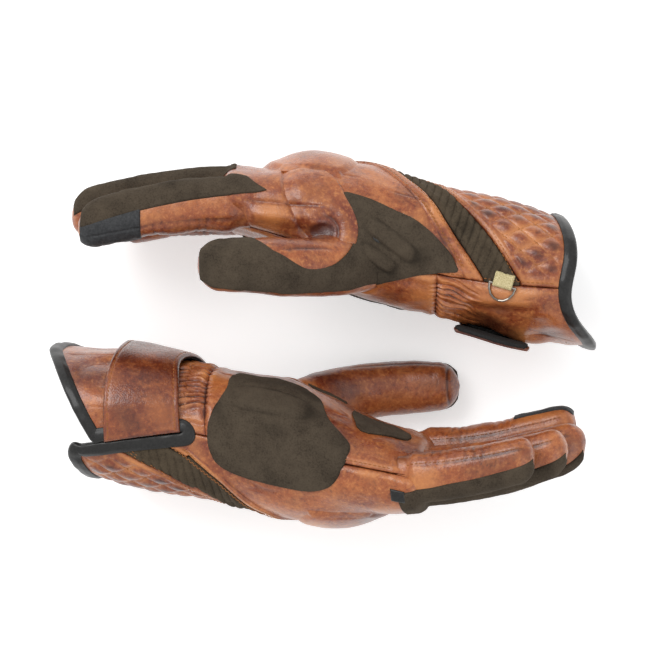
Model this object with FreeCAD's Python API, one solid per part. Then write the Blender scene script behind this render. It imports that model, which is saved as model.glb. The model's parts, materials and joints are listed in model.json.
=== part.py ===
import FreeCAD, Part
import math
import os

import Mesh
from FreeCAD import Matrix, Placement, Rotation, Vector

# A pair of short gauntlet riding gloves, in millimetres.
# One glove is built in its own frame and the other one is its mirror image.
# Glove frame: x runs from the cuff to the fingertips, y to the thumb side, z to the back of the hand.
# Angles round the arm are in degrees from the back of the hand towards the thumb side.
# A leather piece is a sheet between two distances from the glove's form, in flat facets.

# Materials' thicknesses and sewing clearances
leather = 1.6
lining = 0.7
lining_gap = 1.2
suede = 1.2
seat = 0.3
patch_seat = 0.7
seam_gap = 0.3
moving_gap = 0.3
suede_gap = 1.6

# Form of cuff and hand: place along the arm, then half width and half height there
cuff_edge_half = (42.0, 31.0)
cuff_half = (44.5, 35.0)
gauntlet_half = (42.5, 37.0)
wrist_half = (36.5, 36.0)
heel_half = (39.5, 37.5)
palm_half = (43.5, 37.0)
knuckle_half = (45.0, 29.5)
root_half = (44.0, 18.5)
wrist_x = 79.0
palm_x = 131.0
knuckle_x = 157.0
hand_end_x = 196.0
cuff_drop = 19.5
root_rise = 30.0
squareness = 2.35
cuff_slant = 18.0
back_rows = 9
palm_rows = 9
back_span = (-92.0, 110.0)
palm_span = (110.0, 268.0)
back_stations = (92.0, 108.0, 126.0, 146.0, 170.0)
cuff_stations = (26.0, 44.0, 60.0)
quilt_stations = [0.0, 0.12, 0.4, 0.7, 1.0]

# Digits: the section at the root, the reach past the hand, and the drop of the tip
finger_width = 21.7
finger_gap = 0.9
index_height, index_rise, index_length, index_curl = 29.5, 25.5, 85.0, 12.5
middle_height, middle_rise, middle_length, middle_curl = 31.0, 32.0, 91.0, 13.0
ring_height, ring_rise, ring_length, ring_curl = 30.0, 30.0, 83.0, 12.0
little_height, little_rise, little_length, little_curl = 27.0, 25.0, 67.0, 8.0
thumb_root_x = 114.0
thumb_split_x = 163.0
thumb_length = 52.0
thumb_height = 30.0
thumb_width = 28.0
thumb_out = 62.0
thumb_low = 8.5
thumb_root_out = 22.0

# Cuff slit and its folded edge
slit_end_x = 77.0
slit_width = 4.6
slit_height = -7.0
binding_width = 6.0
binding_wall = 1.8
binding_fit = 1.0

# Strap: it starts at the slit, crosses the palm side and ends on the thumb side
strap_middle_x = 50.0
strap_root_width = 50.0
strap_tip_width = 42.0
strap_tip_shift = 6.0
strap_thickness = 2.2
strap_end_angle = -232.0
strap_root_share = 0.16
hook_thickness = 1.3
loop_thickness = 1.2
pad_inset = 5.0
pad_start_share = 0.52
loop_start_share = 0.40

# Pleated stretch band over the back of the wrist
band_peak_x = 125.0
band_thumb_x = 64.0
band_little_x = 60.0
band_width = 18.5
band_peak_width = 25.0
pleat_pitch = 3.8
pleat_gap = 1.0
pleat_height = 1.6
pleat_sunk = 0.9

# Moulded guard over the knuckles
guard_x = 156.0
guard_length = 46.0
guard_spread = 50.0
guard_rise = 5.2
guard_wall = 2.0
guard_edge = 0.5

# Gel pads: place, angle, length, width
pad_height = 1.8
thenar_pads = ((111.0, 84.0, 26.0, 10.0), (119.0, 104.0, 18.0, 8.0))
heel_pad = (117.0, -128.0, 36.0, 15.0)

# Ring at the thumb side of the wrist, its tape, and the side tag
ring_wire = 1.3
ring_inner_radius = 6.6
ring_clearance = 0.12
ring_x = 52.0
ring_angle = 106.0
tape = 0.9
tape_width = 9.0
tape_tail = 8.0
tag_size = (7.5, 6.5)
tag_x = 187.0
tag_angle = -82.0

# How the pair lies on its surface
pair_spacing = 103.0
pair_overhang = 1.5
left_roll = 7.0
left_pitch = 9.3
left_yaw = 3.5


# Solids from facets

def solid_from(triangles):
    """A solid bounded by triangles."""
    skin = Part.Shape()
    skin.makeShapeFromMesh(Mesh.Mesh(triangles).Topology, 0.0005)
    solid = Part.Solid(skin if skin.ShapeType == "Shell" else Part.Shell(skin.Faces))
    if solid.Volume < 0:
        solid.reverse()
    return solid


def strip(first, second):
    """Triangles between two rows of as many points."""
    triangles = []
    for i in range(len(first) - 1):
        a, b, c, d = first[i], first[i + 1], second[i + 1], second[i]
        triangles += [(a, b, c), (a, c, d)]
    return triangles


def turned(triangles):
    """The same triangles, seen from their other side."""
    return [(a, c, b) for a, b, c in triangles]


def sheet_between(outer, inner):
    """A solid between two grids of points, with walls round its border."""
    triangles = []
    for i in range(len(outer) - 1):
        triangles += strip(outer[i], outer[i + 1])
        triangles += turned(strip(inner[i], inner[i + 1]))
    triangles += strip(inner[0], outer[0])
    triangles += strip(outer[-1], inner[-1])
    triangles += strip([row[0] for row in outer], [row[0] for row in inner])
    triangles += strip([row[-1] for row in inner], [row[-1] for row in outer])
    return solid_from(triangles)


def evenly(count):
    return [k / count for k in range(count + 1)]


def sheet(surface, rows, columns, low, high):
    """A sheet over surface(s, t, grow), with s and t from 0 to 1, between two distances.

    Rows are a count. Columns are a count too, or the values of t where they lie.
    """
    places = columns if isinstance(columns, list) else evenly(columns)

    def grid(grow):
        return [[surface(s, t, grow(s, t)) for t in places] for s in evenly(rows)]

    outer = grid(high if callable(high) else lambda s, t: high)
    inner = grid(low if callable(low) else lambda s, t: low)
    return sheet_between(outer, inner)


def fan(loop, flip):
    """Triangles from a loop to its middle."""
    middle = Vector(0, 0, 0)
    for point in loop:
        middle = middle + point
    middle = middle * (1 / len(loop))
    ring = loop + loop[:1]
    if flip:
        ring = ring[::-1]
    return [(ring[i], ring[i + 1], middle) for i in range(len(loop))]


def closed(loop):
    return loop + loop[:1]


def plug(loops):
    """A filled solid through closed loops of as many points."""
    triangles = fan(loops[0], True) + fan(loops[-1], False)
    for first, second in zip(loops, loops[1:]):
        triangles += strip(closed(first), closed(second))
    return solid_from(triangles)


def cup(outer_loops, inner_loops):
    """A hollow finger: open at its first loops and closed at its last ones."""
    triangles = strip(closed(inner_loops[0]), closed(outer_loops[0]))
    for first, second in zip(outer_loops, outer_loops[1:]):
        triangles += strip(closed(first), closed(second))
    for first, second in zip(inner_loops, inner_loops[1:]):
        triangles += turned(strip(closed(first), closed(second)))
    triangles += fan(outer_loops[-1], False) + fan(inner_loops[-1], True)
    return solid_from(triangles)


def share_of(value, start, end):
    return min(max((value - start) / (end - start), 0.0), 1.0)


def mix(a, b, share):
    return a + (b - a) * share


def step_through(values, share):
    """The value a share of the way through evenly counted values."""
    place = share * (len(values) - 1)
    i = min(int(place + 1e-9), len(values) - 2)
    return mix(values[i], values[i + 1], place - i)


def smooth_through(stations, x, item):
    """Value number item at x on a smooth curve through rows that start with their place."""
    last = len(stations) - 1
    i = 0
    while i < last - 1 and (x - stations[i + 1][0]) * (stations[last][0] - stations[0][0]) > 0:
        i += 1
    x0, x1 = stations[i][0], stations[i + 1][0]
    y0, y1 = stations[i][item], stations[i + 1][item]
    span = x1 - x0
    before, after = stations[max(i - 1, 0)], stations[min(i + 2, last)]
    slope0 = (y1 - before[item]) / (x1 - before[0]) * span
    slope1 = (after[item] - y0) / (after[0] - x0) * span
    u = share_of(x, x0, x1)
    return (
        y0 * (2 * u ** 3 - 3 * u ** 2 + 1) + slope0 * (u ** 3 - 2 * u ** 2 + u)
        + y1 * (3 * u ** 2 - 2 * u ** 3) + slope1 * (u ** 3 - u ** 2)
    )


def soft_corner(angle, half_width, half_height):
    """Offsets (to the thumb side, to the back) of a soft-cornered section at a parameter angle."""
    c, s = math.cos(math.radians(angle)), math.sin(math.radians(angle))
    power = 2 / squareness
    return (
        half_width * math.copysign(abs(s) ** power, s),
        half_height * math.copysign(abs(c) ** power, c),
    )


# The form of cuff and hand

hand_form = (
    (-8.0, *cuff_edge_half), (22.0, *cuff_half), (46.0, *gauntlet_half), (wrist_x, *wrist_half),
    (106.0, *heel_half), (palm_x, *palm_half), (knuckle_x, *knuckle_half), (180.0, 45.0, 22.5),
    (hand_end_x, *root_half),
)


def axis_z(x):
    """Height of the middle of the section at x."""
    return mix(-cuff_drop, root_rise, x / hand_end_x)


def hand_point(x, angle, grow=0.0):
    """A point at x and a true angle round the arm, a distance outside the form."""
    half_width = smooth_through(hand_form, x, 1) + grow
    half_height = smooth_through(hand_form, x, 2) + grow
    s, c = math.sin(math.radians(angle)), math.cos(math.radians(angle))
    radius = (abs(s / half_width) ** squareness + abs(c / half_height) ** squareness) ** (-1 / squareness)
    return Vector(x, radius * s, axis_z(x) + radius * c)


def turn_by(x, angle, length):
    """The angle that a length along the skin spans at x."""
    radius = (hand_point(x, angle) - Vector(x, 0, axis_z(x))).Length
    return math.degrees(length / radius)


def cuff_edge(angle):
    """x of the slanted cuff edge: the palm side is the longer one."""
    return cuff_slant / 2 * (1 + math.cos(math.radians(angle)))


def little_seam(x):
    """Angle of the seam and slit on the little finger side: the slit keeps one height."""
    at = min(x, slit_end_x)
    half_height = smooth_through(hand_form, at, 2)
    return -math.degrees(math.acos((slit_height - axis_z(at)) / half_height)) + 2.0


def thumb_seam(x):
    """Angle of the seam on the thumb side of the cuff."""
    return mix(101.0, 116.0, share_of(x, cuff_slant, wrist_x))


def slit_half(x):
    """Half the slit's opening at x, with a rounded end."""
    nose = slit_width / 2
    inside = slit_end_x - x
    if inside <= 0:
        return seam_gap / 2
    return max(seam_gap / 2, nose * math.sqrt(1 - max(0.0, 1 - inside / nose) ** 2))


def back_ends(x):
    """Angles of the back's leather at x: at the little finger side's seam and at the thumb's."""
    return little_seam(x) + turn_by(x, -90, slit_half(x)), thumb_seam(x) - turn_by(x, 110, seam_gap / 2)


def on_back(x, angle, grow):
    """A point at x and an angle on the flat facets of the back's leather, a distance outside it."""
    start, end = back_ends(x)
    place = share_of(angle, start, end) * back_rows
    row = min(int(place), back_rows - 1)
    low, high = (hand_point(x, mix(start, end, k / back_rows), grow) for k in (row, row + 1))
    return low + (high - low) * (place - row)


def palm_ends(x):
    """Angles of the palm's leather at x: at the thumb side's seam and at the little finger's."""
    return thumb_seam(x) + turn_by(x, 110, seam_gap / 2), 360 + little_seam(x) - turn_by(x, -90, slit_half(x))


def back_skin(low_x, high_x):
    """Surface of the back's leather from the little finger side's seam to the thumb's."""
    def surface(s, t, grow):
        nominal = mix(*back_span, s)
        x = mix(low_x(nominal), high_x(nominal), t)
        return hand_point(x, mix(*back_ends(x), s), grow)
    return surface


def palm_skin(low_x, high_x):
    """Surface of the palm's leather from the thumb side's seam to the little finger's."""
    def surface(s, t, grow):
        nominal = mix(*palm_span, s)
        x = mix(low_x(nominal), high_x(nominal), t)
        return hand_point(x, mix(*palm_ends(x), s), grow)
    return surface


def band_high(angle):
    """x of the stretch band's finger side edge, an arch with its peak on the back."""
    if angle >= 0:
        return mix(band_peak_x, band_thumb_x, share_of(angle, 0, 112) ** 0.88)
    return mix(band_peak_x, band_little_x, share_of(angle, 0, -92) ** 0.95)


def band_low(angle):
    reach = share_of(abs(angle), 0, 45)
    return band_high(angle) - mix(band_peak_width, band_width, reach)


def plain(value):
    return lambda angle: value


def patch_skin(rows):
    """Surface through rows of (angle, low x, high x), smooth between them."""
    first, last = rows[0][0], rows[-1][0]

    def surface(s, t, grow):
        angle = mix(first, last, s)
        low_x = smooth_through(rows, angle, 1)
        high_x = smooth_through(rows, angle, 2)
        return hand_point(mix(low_x, high_x, t), angle, grow)
    return surface


# Fingers and thumb

finger_form = ((0.0, 1.0), (0.3, 0.97), (0.6, 0.93), (0.8, 0.85), (0.93, 0.64), (1.0, 0.3))


def finger_places():
    """Each finger's (y, rise, length, height, drop), from the thumb side outwards."""
    pitch = finger_width + finger_gap
    return {
        "index": (1.5 * pitch, index_rise, index_length, index_height, index_curl),
        "middle": (0.5 * pitch, middle_rise, middle_length, middle_height, middle_curl),
        "ring": (-0.5 * pitch, ring_rise, ring_length, ring_height, ring_curl),
        "little": (-1.5 * pitch, little_rise, little_length, little_height, little_curl),
    }


def finger_point(place, share, angle, grow):
    y, rise, length, height, curl = place
    scale = smooth_through(finger_form, share, 1)
    across, up = soft_corner(angle, finger_width / 2 * scale + grow, height / 2 * scale + grow)
    x = hand_end_x + moving_gap + share * (length + grow)
    return Vector(x, y + across, rise - curl * share ** 2 + up)


def finger_loops(place, grow):
    return [
        [finger_point(place, share, 18 + 36 * k, grow) for k in range(10)]
        for share, scale in finger_form
    ]


def thumb_point(x, angle, grow):
    """A point of the thumb's form, from its root in the palm to its tip."""
    tip = thumb_split_x + thumb_length
    middle_x = (thumb_root_x + thumb_split_x) / 2
    form = (
        (thumb_root_x, thumb_root_out, thumb_low - 1, 0.46 * thumb_width, 0.42 * thumb_height),
        (middle_x, mix(thumb_root_out, thumb_out, 0.45), thumb_low, 0.53 * thumb_width, 0.5 * thumb_height),
        (thumb_split_x, thumb_out - 8, thumb_low + 0.5, 0.53 * thumb_width, 0.52 * thumb_height),
        (tip - 0.6 * thumb_length, thumb_out - 2, thumb_low, thumb_width / 2, 0.5 * thumb_height),
        (tip - 0.24 * thumb_length, thumb_out, thumb_low - 0.5, 0.46 * thumb_width, 0.44 * thumb_height),
        (tip - 0.07 * thumb_length, thumb_out, thumb_low - 1, 0.32 * thumb_width, 0.31 * thumb_height),
        (tip, thumb_out, thumb_low - 1, 0.14 * thumb_width, 0.14 * thumb_height),
    )
    y, drop, half_width, half_height = (smooth_through(form, x, k) for k in (1, 2, 3, 4))
    across, up = soft_corner(angle, half_width + grow, half_height + grow)
    return Vector(x, y + across, up - drop)


def thumb_loops(places, grow):
    return [[thumb_point(x, 18 + 36 * k, grow) for k in range(10)] for x in places]


def thumb_base_places():
    return [mix(thumb_root_x, thumb_split_x, share) for share in (0, 0.33, 0.67, 1)]


# Pieces of one glove

def leather_panels():
    """The leather of cuff and hand in its four panels, and the lining, which is open at the thumb."""
    wrist_seam = wrist_x + 8
    nose = (slit_end_x - slit_width / 2, slit_end_x)
    back_start = band_little_x + seam_gap
    back_columns = [0.0] + [share_of(x, back_start, hand_end_x) for x in (*nose, *back_stations)] + [1.0]
    cuff_start = cuff_edge(palm_span[1])
    cuff_columns = [0.0] + [share_of(x, cuff_start, wrist_seam) for x in (*cuff_stations, *nose)] + [1.0]
    thumb_hole = plug(thumb_loops(thumb_base_places(), -leather))
    palm = sheet(palm_skin(plain(wrist_seam + seam_gap), plain(hand_end_x)), palm_rows, 7, -leather, 0)
    under = -leather - lining_gap

    def lined(skin, first, last):
        """The lining's surface, between two shares of a panel's rows."""
        surface = skin(plain(wrist_seam + 6), plain(hand_end_x))
        return lambda s, t, grow: surface(mix(first, last, s), t, grow)

    back_lining = sheet(lined(back_skin, 0, 1 - 1 / back_rows), back_rows - 1, 3, under - lining, under)
    palm_lining = sheet(lined(palm_skin, 3 / palm_rows, 1), palm_rows - 3, 3, under - lining, under)
    return {
        "cuff_quilt_panel": sheet(back_skin(cuff_edge, lambda a: band_low(a) - seam_gap),
                                  back_rows, quilt_stations, -leather, 0),
        "back_panel": sheet(back_skin(lambda a: band_high(a) + seam_gap, plain(hand_end_x)),
                            back_rows, back_columns, -leather, 0),
        "cuff_palm_panel": sheet(palm_skin(cuff_edge, plain(wrist_seam)), palm_rows, cuff_columns, -leather, 0),
        "palm_panel": palm.cut(thumb_hole),
        "hand_lining": Part.makeCompound([back_lining, palm_lining]),
    }


def rib(x, first, last):
    """One rib of the stretch band, at x, between two angles, on the facets of the back's leather."""
    start, end = back_ends(x)
    ends = [share_of(angle, start, end) for angle in (first, last)]
    shares = [ends[0]]
    for share in evenly(back_rows):
        if ends[0] + 0.02 < share < ends[1] - 0.02:
            shares.append(share)
    shares.append(ends[1])

    def surface(s, t, grow):
        at = x + t * (pleat_pitch - pleat_gap)
        return hand_point(at, mix(*back_ends(at), step_through(shares, s)), grow)
    return sheet(surface, len(shares) - 1, 1, -pleat_sunk, pleat_height)


def crossing(edge, x, far):
    """Angle between 0 and far where an edge of the band passes x."""
    near = 0.0
    for _ in range(30):
        middle = (near + far) / 2
        if edge(middle) > x:
            near = middle
        else:
            far = middle
    return near


def rib_spans(x):
    """The stretches of a rib at x that lie on the band, as pairs of angles."""
    width = pleat_pitch - pleat_gap
    thumb_far = thumb_seam(x) - 2.0
    if abs(x + width / 2 - ring_x) < tape_width / 2 + width:
        thumb_far = ring_angle - turn_by(ring_x, ring_angle, tape_tail + 1)
    fold = slit_width / 2 + binding_width + seam_gap
    high_thumb = min(crossing(band_high, x + width + pleat_gap, 112.0), thumb_far)
    high_little = max(crossing(band_high, x + width + pleat_gap, -92.0), little_seam(x) + turn_by(x, -90, fold))
    if band_low(0) < x - pleat_gap:
        return [(high_little, high_thumb)]
    spans = []
    low_thumb = crossing(band_low, x - pleat_gap, 112.0)
    low_little = crossing(band_low, x - pleat_gap, -92.0)
    if high_thumb - low_thumb > 4:
        spans.append((low_thumb, high_thumb))
    if low_little - high_little > 4:
        spans.append((high_little, low_little))
    return spans


def stretch_band():
    """The pleated stretch band: a thin sheet with ribs that run across the arm."""
    base = sheet(back_skin(band_low, band_high), back_rows, 1, -leather, 0)
    ribs = []
    x = band_thumb_x - band_width
    while x < band_peak_x - pleat_pitch:
        ribs += [rib(x, first, last) for first, last in rib_spans(x)]
        x += pleat_pitch
    return {"accordion_panel": base.multiFuse(ribs)}


def folded_edge(path):
    """A folded binding over an edge. The path has rows (x, angle, inward x, inward turn)."""
    deep = -leather
    outer_fold = ((binding_width, binding_wall), (-binding_wall, binding_wall),
                  (-binding_wall, deep - binding_wall), (binding_width, deep - binding_wall))
    inner_fold = ((binding_width, binding_fit), (-binding_fit, binding_fit),
                  (-binding_fit, deep - binding_fit), (binding_width, deep - binding_fit))

    def grid(fold):
        return [
            [hand_point(x + dx * step, angle + turn_by(x, angle, turn * step), grow) for step, grow in fold]
            for x, angle, dx, turn in path
        ]
    return sheet_between(grid(outer_fold), grid(inner_fold))


def edge_binding():
    """The binding round the cuff opening and, in one more piece, round the slit."""
    round_cuff = []
    for first, rows, span, ends in ((0, back_rows, back_span, back_ends), (1, palm_rows, palm_span, palm_ends)):
        for i in range(first, rows + 1):
            x = cuff_edge(mix(*span, i / rows))
            round_cuff.append((x, mix(*ends(x), i / rows), 1, 0))
    start = cuff_slant / 2 + binding_width + seam_gap
    nose_x = slit_end_x - slit_width / 2
    lip = [mix(start, nose_x, share) for share in (0, 0.33, 0.67, 1)]
    path = [(x, little_seam(x) + turn_by(x, -90, slit_width / 2), 0, 1) for x in lip]
    for degrees in (45, 0, -45):
        c, s = math.cos(math.radians(degrees)), math.sin(math.radians(degrees))
        x = nose_x + slit_width / 2 * c
        path.append((x, little_seam(x) + turn_by(x, -90, slit_width / 2 * s), c, s))
    path += [(x, little_seam(x) - turn_by(x, -90, slit_width / 2), 0, -1) for x in lip[::-1]]
    return {"edge_binding": Part.makeCompound([folded_edge(round_cuff), folded_edge(path)])}


def hand_plug():
    """The filled form of the hand, to cut away what the hand takes up."""
    places = [mix(thumb_root_x - 20, thumb_split_x + 12, share / 5) for share in range(6)]
    return plug([[hand_point(x, 18 * k, patch_seat) for k in range(20)] for x in places])


def largest(shape):
    return max(shape.Solids, key=lambda solid: solid.Volume)


def oval_plug(place, height):
    """A low oval pad on the hand."""
    x, angle, length, width = place

    def ring(scale, grow):
        loop = []
        for k in range(10):
            c, s = math.cos(math.pi * k / 5), math.sin(math.pi * k / 5)
            turned = angle + turn_by(x, angle, width / 2 * scale * s)
            loop.append(hand_point(x + length / 2 * scale * c, turned, grow))
        return loop
    return plug([ring(0.8, patch_seat + 0.1), ring(0.5, patch_seat + height)])


def patch_over_pads(rows, places, across, along):
    """A suede patch that rises over the pads under it."""
    surface = patch_skin(rows)

    def rise(s, t, spread):
        point = surface(s, t, 0.0)
        highest = 0.0
        for x, angle, length, width in places:
            middle = hand_point(x, angle)
            away = ((point.x - x) / (length / 2 + spread)) ** 2
            sideways = math.hypot(point.y - middle.y, point.z - middle.z)
            away += (sideways / (width / 2 + spread)) ** 2
            highest = max(highest, pad_height * (1 - away))
        return highest

    def low(s, t):
        return patch_seat + rise(s, t, 2 * suede)

    return sheet(surface, across, along, low, lambda s, t: low(s, t) + suede)


def palm_reinforcement():
    """Suede on thumb ball, heel of the hand and finger roots, with gel pads under it."""
    thumb_ball = ((66, 106, 128), (78, 96, 131), (92, 87, 131), (106, 80, 126), (118, 80, 116))
    heel = ((-62, 98, 138), (-76, 88, 153), (-92, 85, 158), (-110, 85, 156), (-128, 89, 152), (-142, 97, 146))
    roots = ((-196, 166, 180), (-184, 160, 192), (-166, 162, 193), (-152, 168, 190))

    def thumb_face(s, t, grow):
        start = mix(thumb_root_x, thumb_split_x, 0.5)
        return thumb_point(mix(start, thumb_split_x - suede_gap, t), mix(62, 172, s), grow)

    pads = [oval_plug(place, 0.4 * pad_height) for place in (*thenar_pads, heel_pad)]
    thumb_side = sheet(thumb_face, 4, 2, seat, seat + suede).cut(hand_plug())
    solids = [patch_over_pads(thumb_ball, thenar_pads, 8, 5), patch_over_pads(heel, (heel_pad,), 9, 6),
              sheet(patch_skin(roots), 4, 2, patch_seat, patch_seat + suede), largest(thumb_side)]
    return {"palm_gel_pads": Part.makeCompound(pads), "palm_suede": Part.makeCompound(solids)}


def knuckle_guard():
    """A moulded guard over the knuckles and the leather cover that follows it."""
    def surface(s, t, grow):
        reach = turn_by(guard_x, 0, guard_spread / 2)
        length = guard_length * (1 - 0.35 * (2 * s - 1) ** 4)
        return hand_point(guard_x + (t - 0.5) * length, (2 * s - 1) * reach, grow)

    def dome(base, rise):
        return lambda s, t: base + rise * abs(math.sin(math.pi * s)) ** 0.7 * abs(math.sin(math.pi * t)) ** 1.2

    hollow = guard_rise - guard_wall + guard_edge
    cover_low = 2 * seat + guard_edge
    return {
        "knuckle_guard": sheet(surface, 8, 4, dome(seat, hollow), dome(seat + guard_edge, guard_rise)),
        "knuckle_cover": sheet(surface, 8, 4, dome(cover_low, guard_rise), dome(cover_low + leather, guard_rise)),
    }


def thumb_pieces():
    """The thumb's sewn-in base, its free end, the suede on both, and the gusset beside it."""
    base_places = thumb_base_places()
    tip = thumb_split_x + thumb_length
    shares = (0, 0.3, 0.6, 0.84, 0.95, 1)
    stall_places = [mix(thumb_split_x, tip, share) for share in shares]
    hollow_places = stall_places[:-1] + [tip - leather]
    hand = hand_plug()
    base = plug(thumb_loops(base_places[:-1] + [thumb_split_x - moving_gap], 0))
    base = base.cut(plug(thumb_loops(base_places[:-1] + [thumb_split_x + 1], -leather)))
    base = base.cut(hand)

    def stall_suede(s, t, grow):
        return thumb_point(step_through(stall_places[:-1], t), step_through((54, 90, 126, 162, 180), s), grow)

    gusset = ((56, 146, 170), (68, 137, 168), (80, 132, 160), (92, 131, 150), (101, 133, 146))
    return {
        "thumb_base": largest(base),
        "thumb_stall": cup(thumb_loops(stall_places, 0), thumb_loops(hollow_places, -leather)),
        "thumb_suede": sheet(stall_suede, 4, len(shares) - 2, seat, seat + suede),
        "thumb_gusset": sheet(patch_skin(gusset), 4, 2, patch_seat, patch_seat + leather),
    }


def finger_pieces():
    """A leather stall and a suede back for each finger, and the index finger's touch patch."""
    shares = [share for share, scale in finger_form[:-1]]
    backs = {"index": (-54, -18, 18, 54, 84), "middle": (-54, -18, 18, 54), "ring": (-54, -18, 18, 54),
             "little": (-84, -54, -18, 18, 54)}
    pieces = {}
    for name, place in finger_places().items():
        pieces[name + "_stall"] = cup(finger_loops(place, 0), finger_loops(place, -leather))

        def back(s, t, grow):
            return finger_point(place, step_through(shares, t), step_through(backs[name], s), grow)

        pieces[name + "_suede_back"] = sheet(back, len(backs[name]) - 1, len(shares) - 1, seat, seat + suede)

    def touch(s, t, grow):
        share, angle = step_through(shares[2:], t), step_through((94, 126, 162, 198), s)
        return finger_point(finger_places()["index"], share, angle, grow)

    pieces["touch_patch"] = sheet(touch, 3, len(shares) - 3, seat, seat + suede)
    return pieces


def closing_strap():
    """The strap with its hook pad, and the loop pad sewn on the cuff."""
    loop_top = patch_seat + loop_thickness
    hook_low = loop_top + moving_gap
    hook_top = hook_low + hook_thickness
    strap_low = hook_top + patch_seat

    def surface(start_share, end_share, inset):
        def point(s, t, grow):
            share = mix(start_share, end_share, s)
            half = mix(strap_root_width, strap_tip_width, share) / 2 - inset
            x = strap_middle_x + strap_tip_shift * share + half * (2 * t - 1)
            root = little_seam(x) - turn_by(x, -90, slit_width / 2 + binding_width + moving_gap)
            return hand_point(x, mix(root, strap_end_angle, share), grow)
        return point

    def lift(top):
        return lambda s, t: mix(patch_seat, strap_low, share_of(s, 0, strap_root_share)) + top

    end = 1 - pad_inset / 80
    return {
        "strap_loop_pad": sheet(surface(loop_start_share, end, pad_inset), 5, 2, patch_seat, loop_top),
        "strap_hook_pad": sheet(surface(pad_start_share, end, pad_inset), 4, 2, hook_low, hook_top),
        "strap_leather": sheet(surface(0, 1, 0), 10, 3, lift(0), lift(strap_thickness)),
    }


def hanging_ring():
    """A wire ring held by a folded tape at the thumb side of the wrist."""
    foot = hand_point(ring_x, ring_angle)
    outward = (foot - Vector(ring_x, 0, axis_z(ring_x))).normalize()
    along = (hand_point(ring_x + 5, ring_angle) - hand_point(ring_x - 5, ring_angle)).normalize()
    outward = (outward - along * outward.dot(along)).normalize()
    down = along.cross(outward)
    if down.z > 0:
        down = -down
    hole = ring_wire / 2 + ring_clearance
    fold = hole + tape
    centre = foot + outward * (seat + fold)
    reach = ring_inner_radius + ring_wire / 2
    path = [centre - along * reach, centre + along * reach]
    for k in range(1, 8):
        bow = math.radians(22.5 * k)
        path.append(centre + along * (reach * math.cos(bow)) + down * (reach * 1.2 * math.sin(bow)))
    ring = wire_loop(path, ring_wire / 2, outward)

    def at(back, out):
        return centre - along * (tape_width / 2) - down * back + outward * out

    tail_top = 2 * tape - fold
    outline = [at(tape_tail, -fold), at(tape_tail, tail_top)]
    for k in range(10):
        angle = math.radians(30 * k)
        outline.append(at(fold * math.cos(angle), max(fold * math.sin(angle), tail_top) if k == 0
                          else fold * math.sin(angle)))
    opening = [at(hole * math.cos(math.radians(45 * k)), hole * math.sin(math.radians(45 * k)))
               for k in range(8)]
    profile = Part.Face([Part.makePolygon(closed(outline)), Part.makePolygon(closed(opening))])
    profile.validate()
    return {"d_ring": ring, "ring_tape": profile.extrude(along * tape_width)}


def wire_loop(path, radius, side):
    """A closed wire of round section through a closed flat path, side being the path's normal."""
    loops = []
    for i, point in enumerate(path):
        before = (point - path[i - 1]).normalize()
        after = (path[(i + 1) % len(path)] - point).normalize()
        out = (before - after).normalize()
        spread = 1 / max(0.5, math.sqrt((1 + before.dot(after)) / 2))
        loops.append([
            point + out * (radius * spread * math.cos(math.pi * k / 4)) + side * (
                radius * math.sin(math.pi * k / 4))
            for k in range(8)
        ])
    triangles = []
    for first, second in zip(loops, loops[1:] + loops[:1]):
        triangles += strip(closed(first), closed(second))
    return solid_from(triangles)


def side_tag():
    """A small plain tag sewn to the little finger side of the knuckles."""
    length, width = tag_size

    def surface(s, t, grow):
        angle = tag_angle + turn_by(tag_x, tag_angle, (s - 0.5) * width)
        return on_back(tag_x + (t - 0.5) * length, angle, grow)

    return {"side_tag": sheet(surface, 1, 1, seat, seat + tape)}


def glove():
    pieces = {}
    for maker in (leather_panels, stretch_band, edge_binding, palm_reinforcement, knuckle_guard,
                  thumb_pieces, finger_pieces, closing_strap, hanging_ring, side_tag):
        pieces.update(maker())
    return pieces


# The pair on its surface: the right glove lies on its little finger side, the left one on its thumb

def right_pose():
    return Placement(Matrix(-1, 0, 0, hand_end_x * 0.75, 0, 0, 1, pair_spacing / 2, 0, 1, 0, 0, 0, 0, 0, 1))


def left_pose():
    lay = Placement(Matrix(1, 0, 0, 0, 0, 0, -1, 0, 0, 1, 0, 0, 0, 0, 0, 1))
    turn = Rotation(Vector(0, 0, 1), left_yaw)
    turn = turn.multiply(Rotation(Vector(0, 1, 0), -left_pitch))
    turn = turn.multiply(Rotation(Vector(1, 0, 0), left_roll))
    place = Vector(-hand_end_x * 0.75 + pair_overhang, -pair_spacing / 2, 0)
    return Placement(place, turn).multiply(lay)


def settled(pieces, pose, mirrored):
    """The pieces turned to their pose and set down at z = 0."""
    placed = {}
    for name, shape in pieces.items():
        copy = shape.mirror(Vector(0, 0, 0), Vector(0, 1, 0)) if mirrored else shape.copy()
        placed[name] = copy.transformed(pose.toMatrix(), copy=True)
    drop = min(shape.BoundBox.ZMin for shape in placed.values())
    for shape in placed.values():
        shape.translate(Vector(0, 0, -drop))
    return placed


def middle_of(shapes):
    """The middle of the pair's box, at the height of its surface."""
    boxes = [shape.BoundBox for shape in shapes.values()]
    return Vector(
        (min(box.XMin for box in boxes) + max(box.XMax for box in boxes)) / 2,
        (min(box.YMin for box in boxes) + max(box.YMax for box in boxes)) / 2,
        0,
    )


def main():
    os.makedirs("parts", exist_ok=True)
    pieces = glove()
    pair = {}
    for side, pose, mirrored in (("right", right_pose(), False), ("left", left_pose(), True)):
        for name, shape in settled(pieces, pose, mirrored).items():
            pair[side + "_" + name] = shape
    middle = middle_of(pair)
    for node, shape in pair.items():
        shape.translate(-middle)
        shape.exportStep("parts/" + node + ".step")


main()
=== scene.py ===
import json
import math

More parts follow.
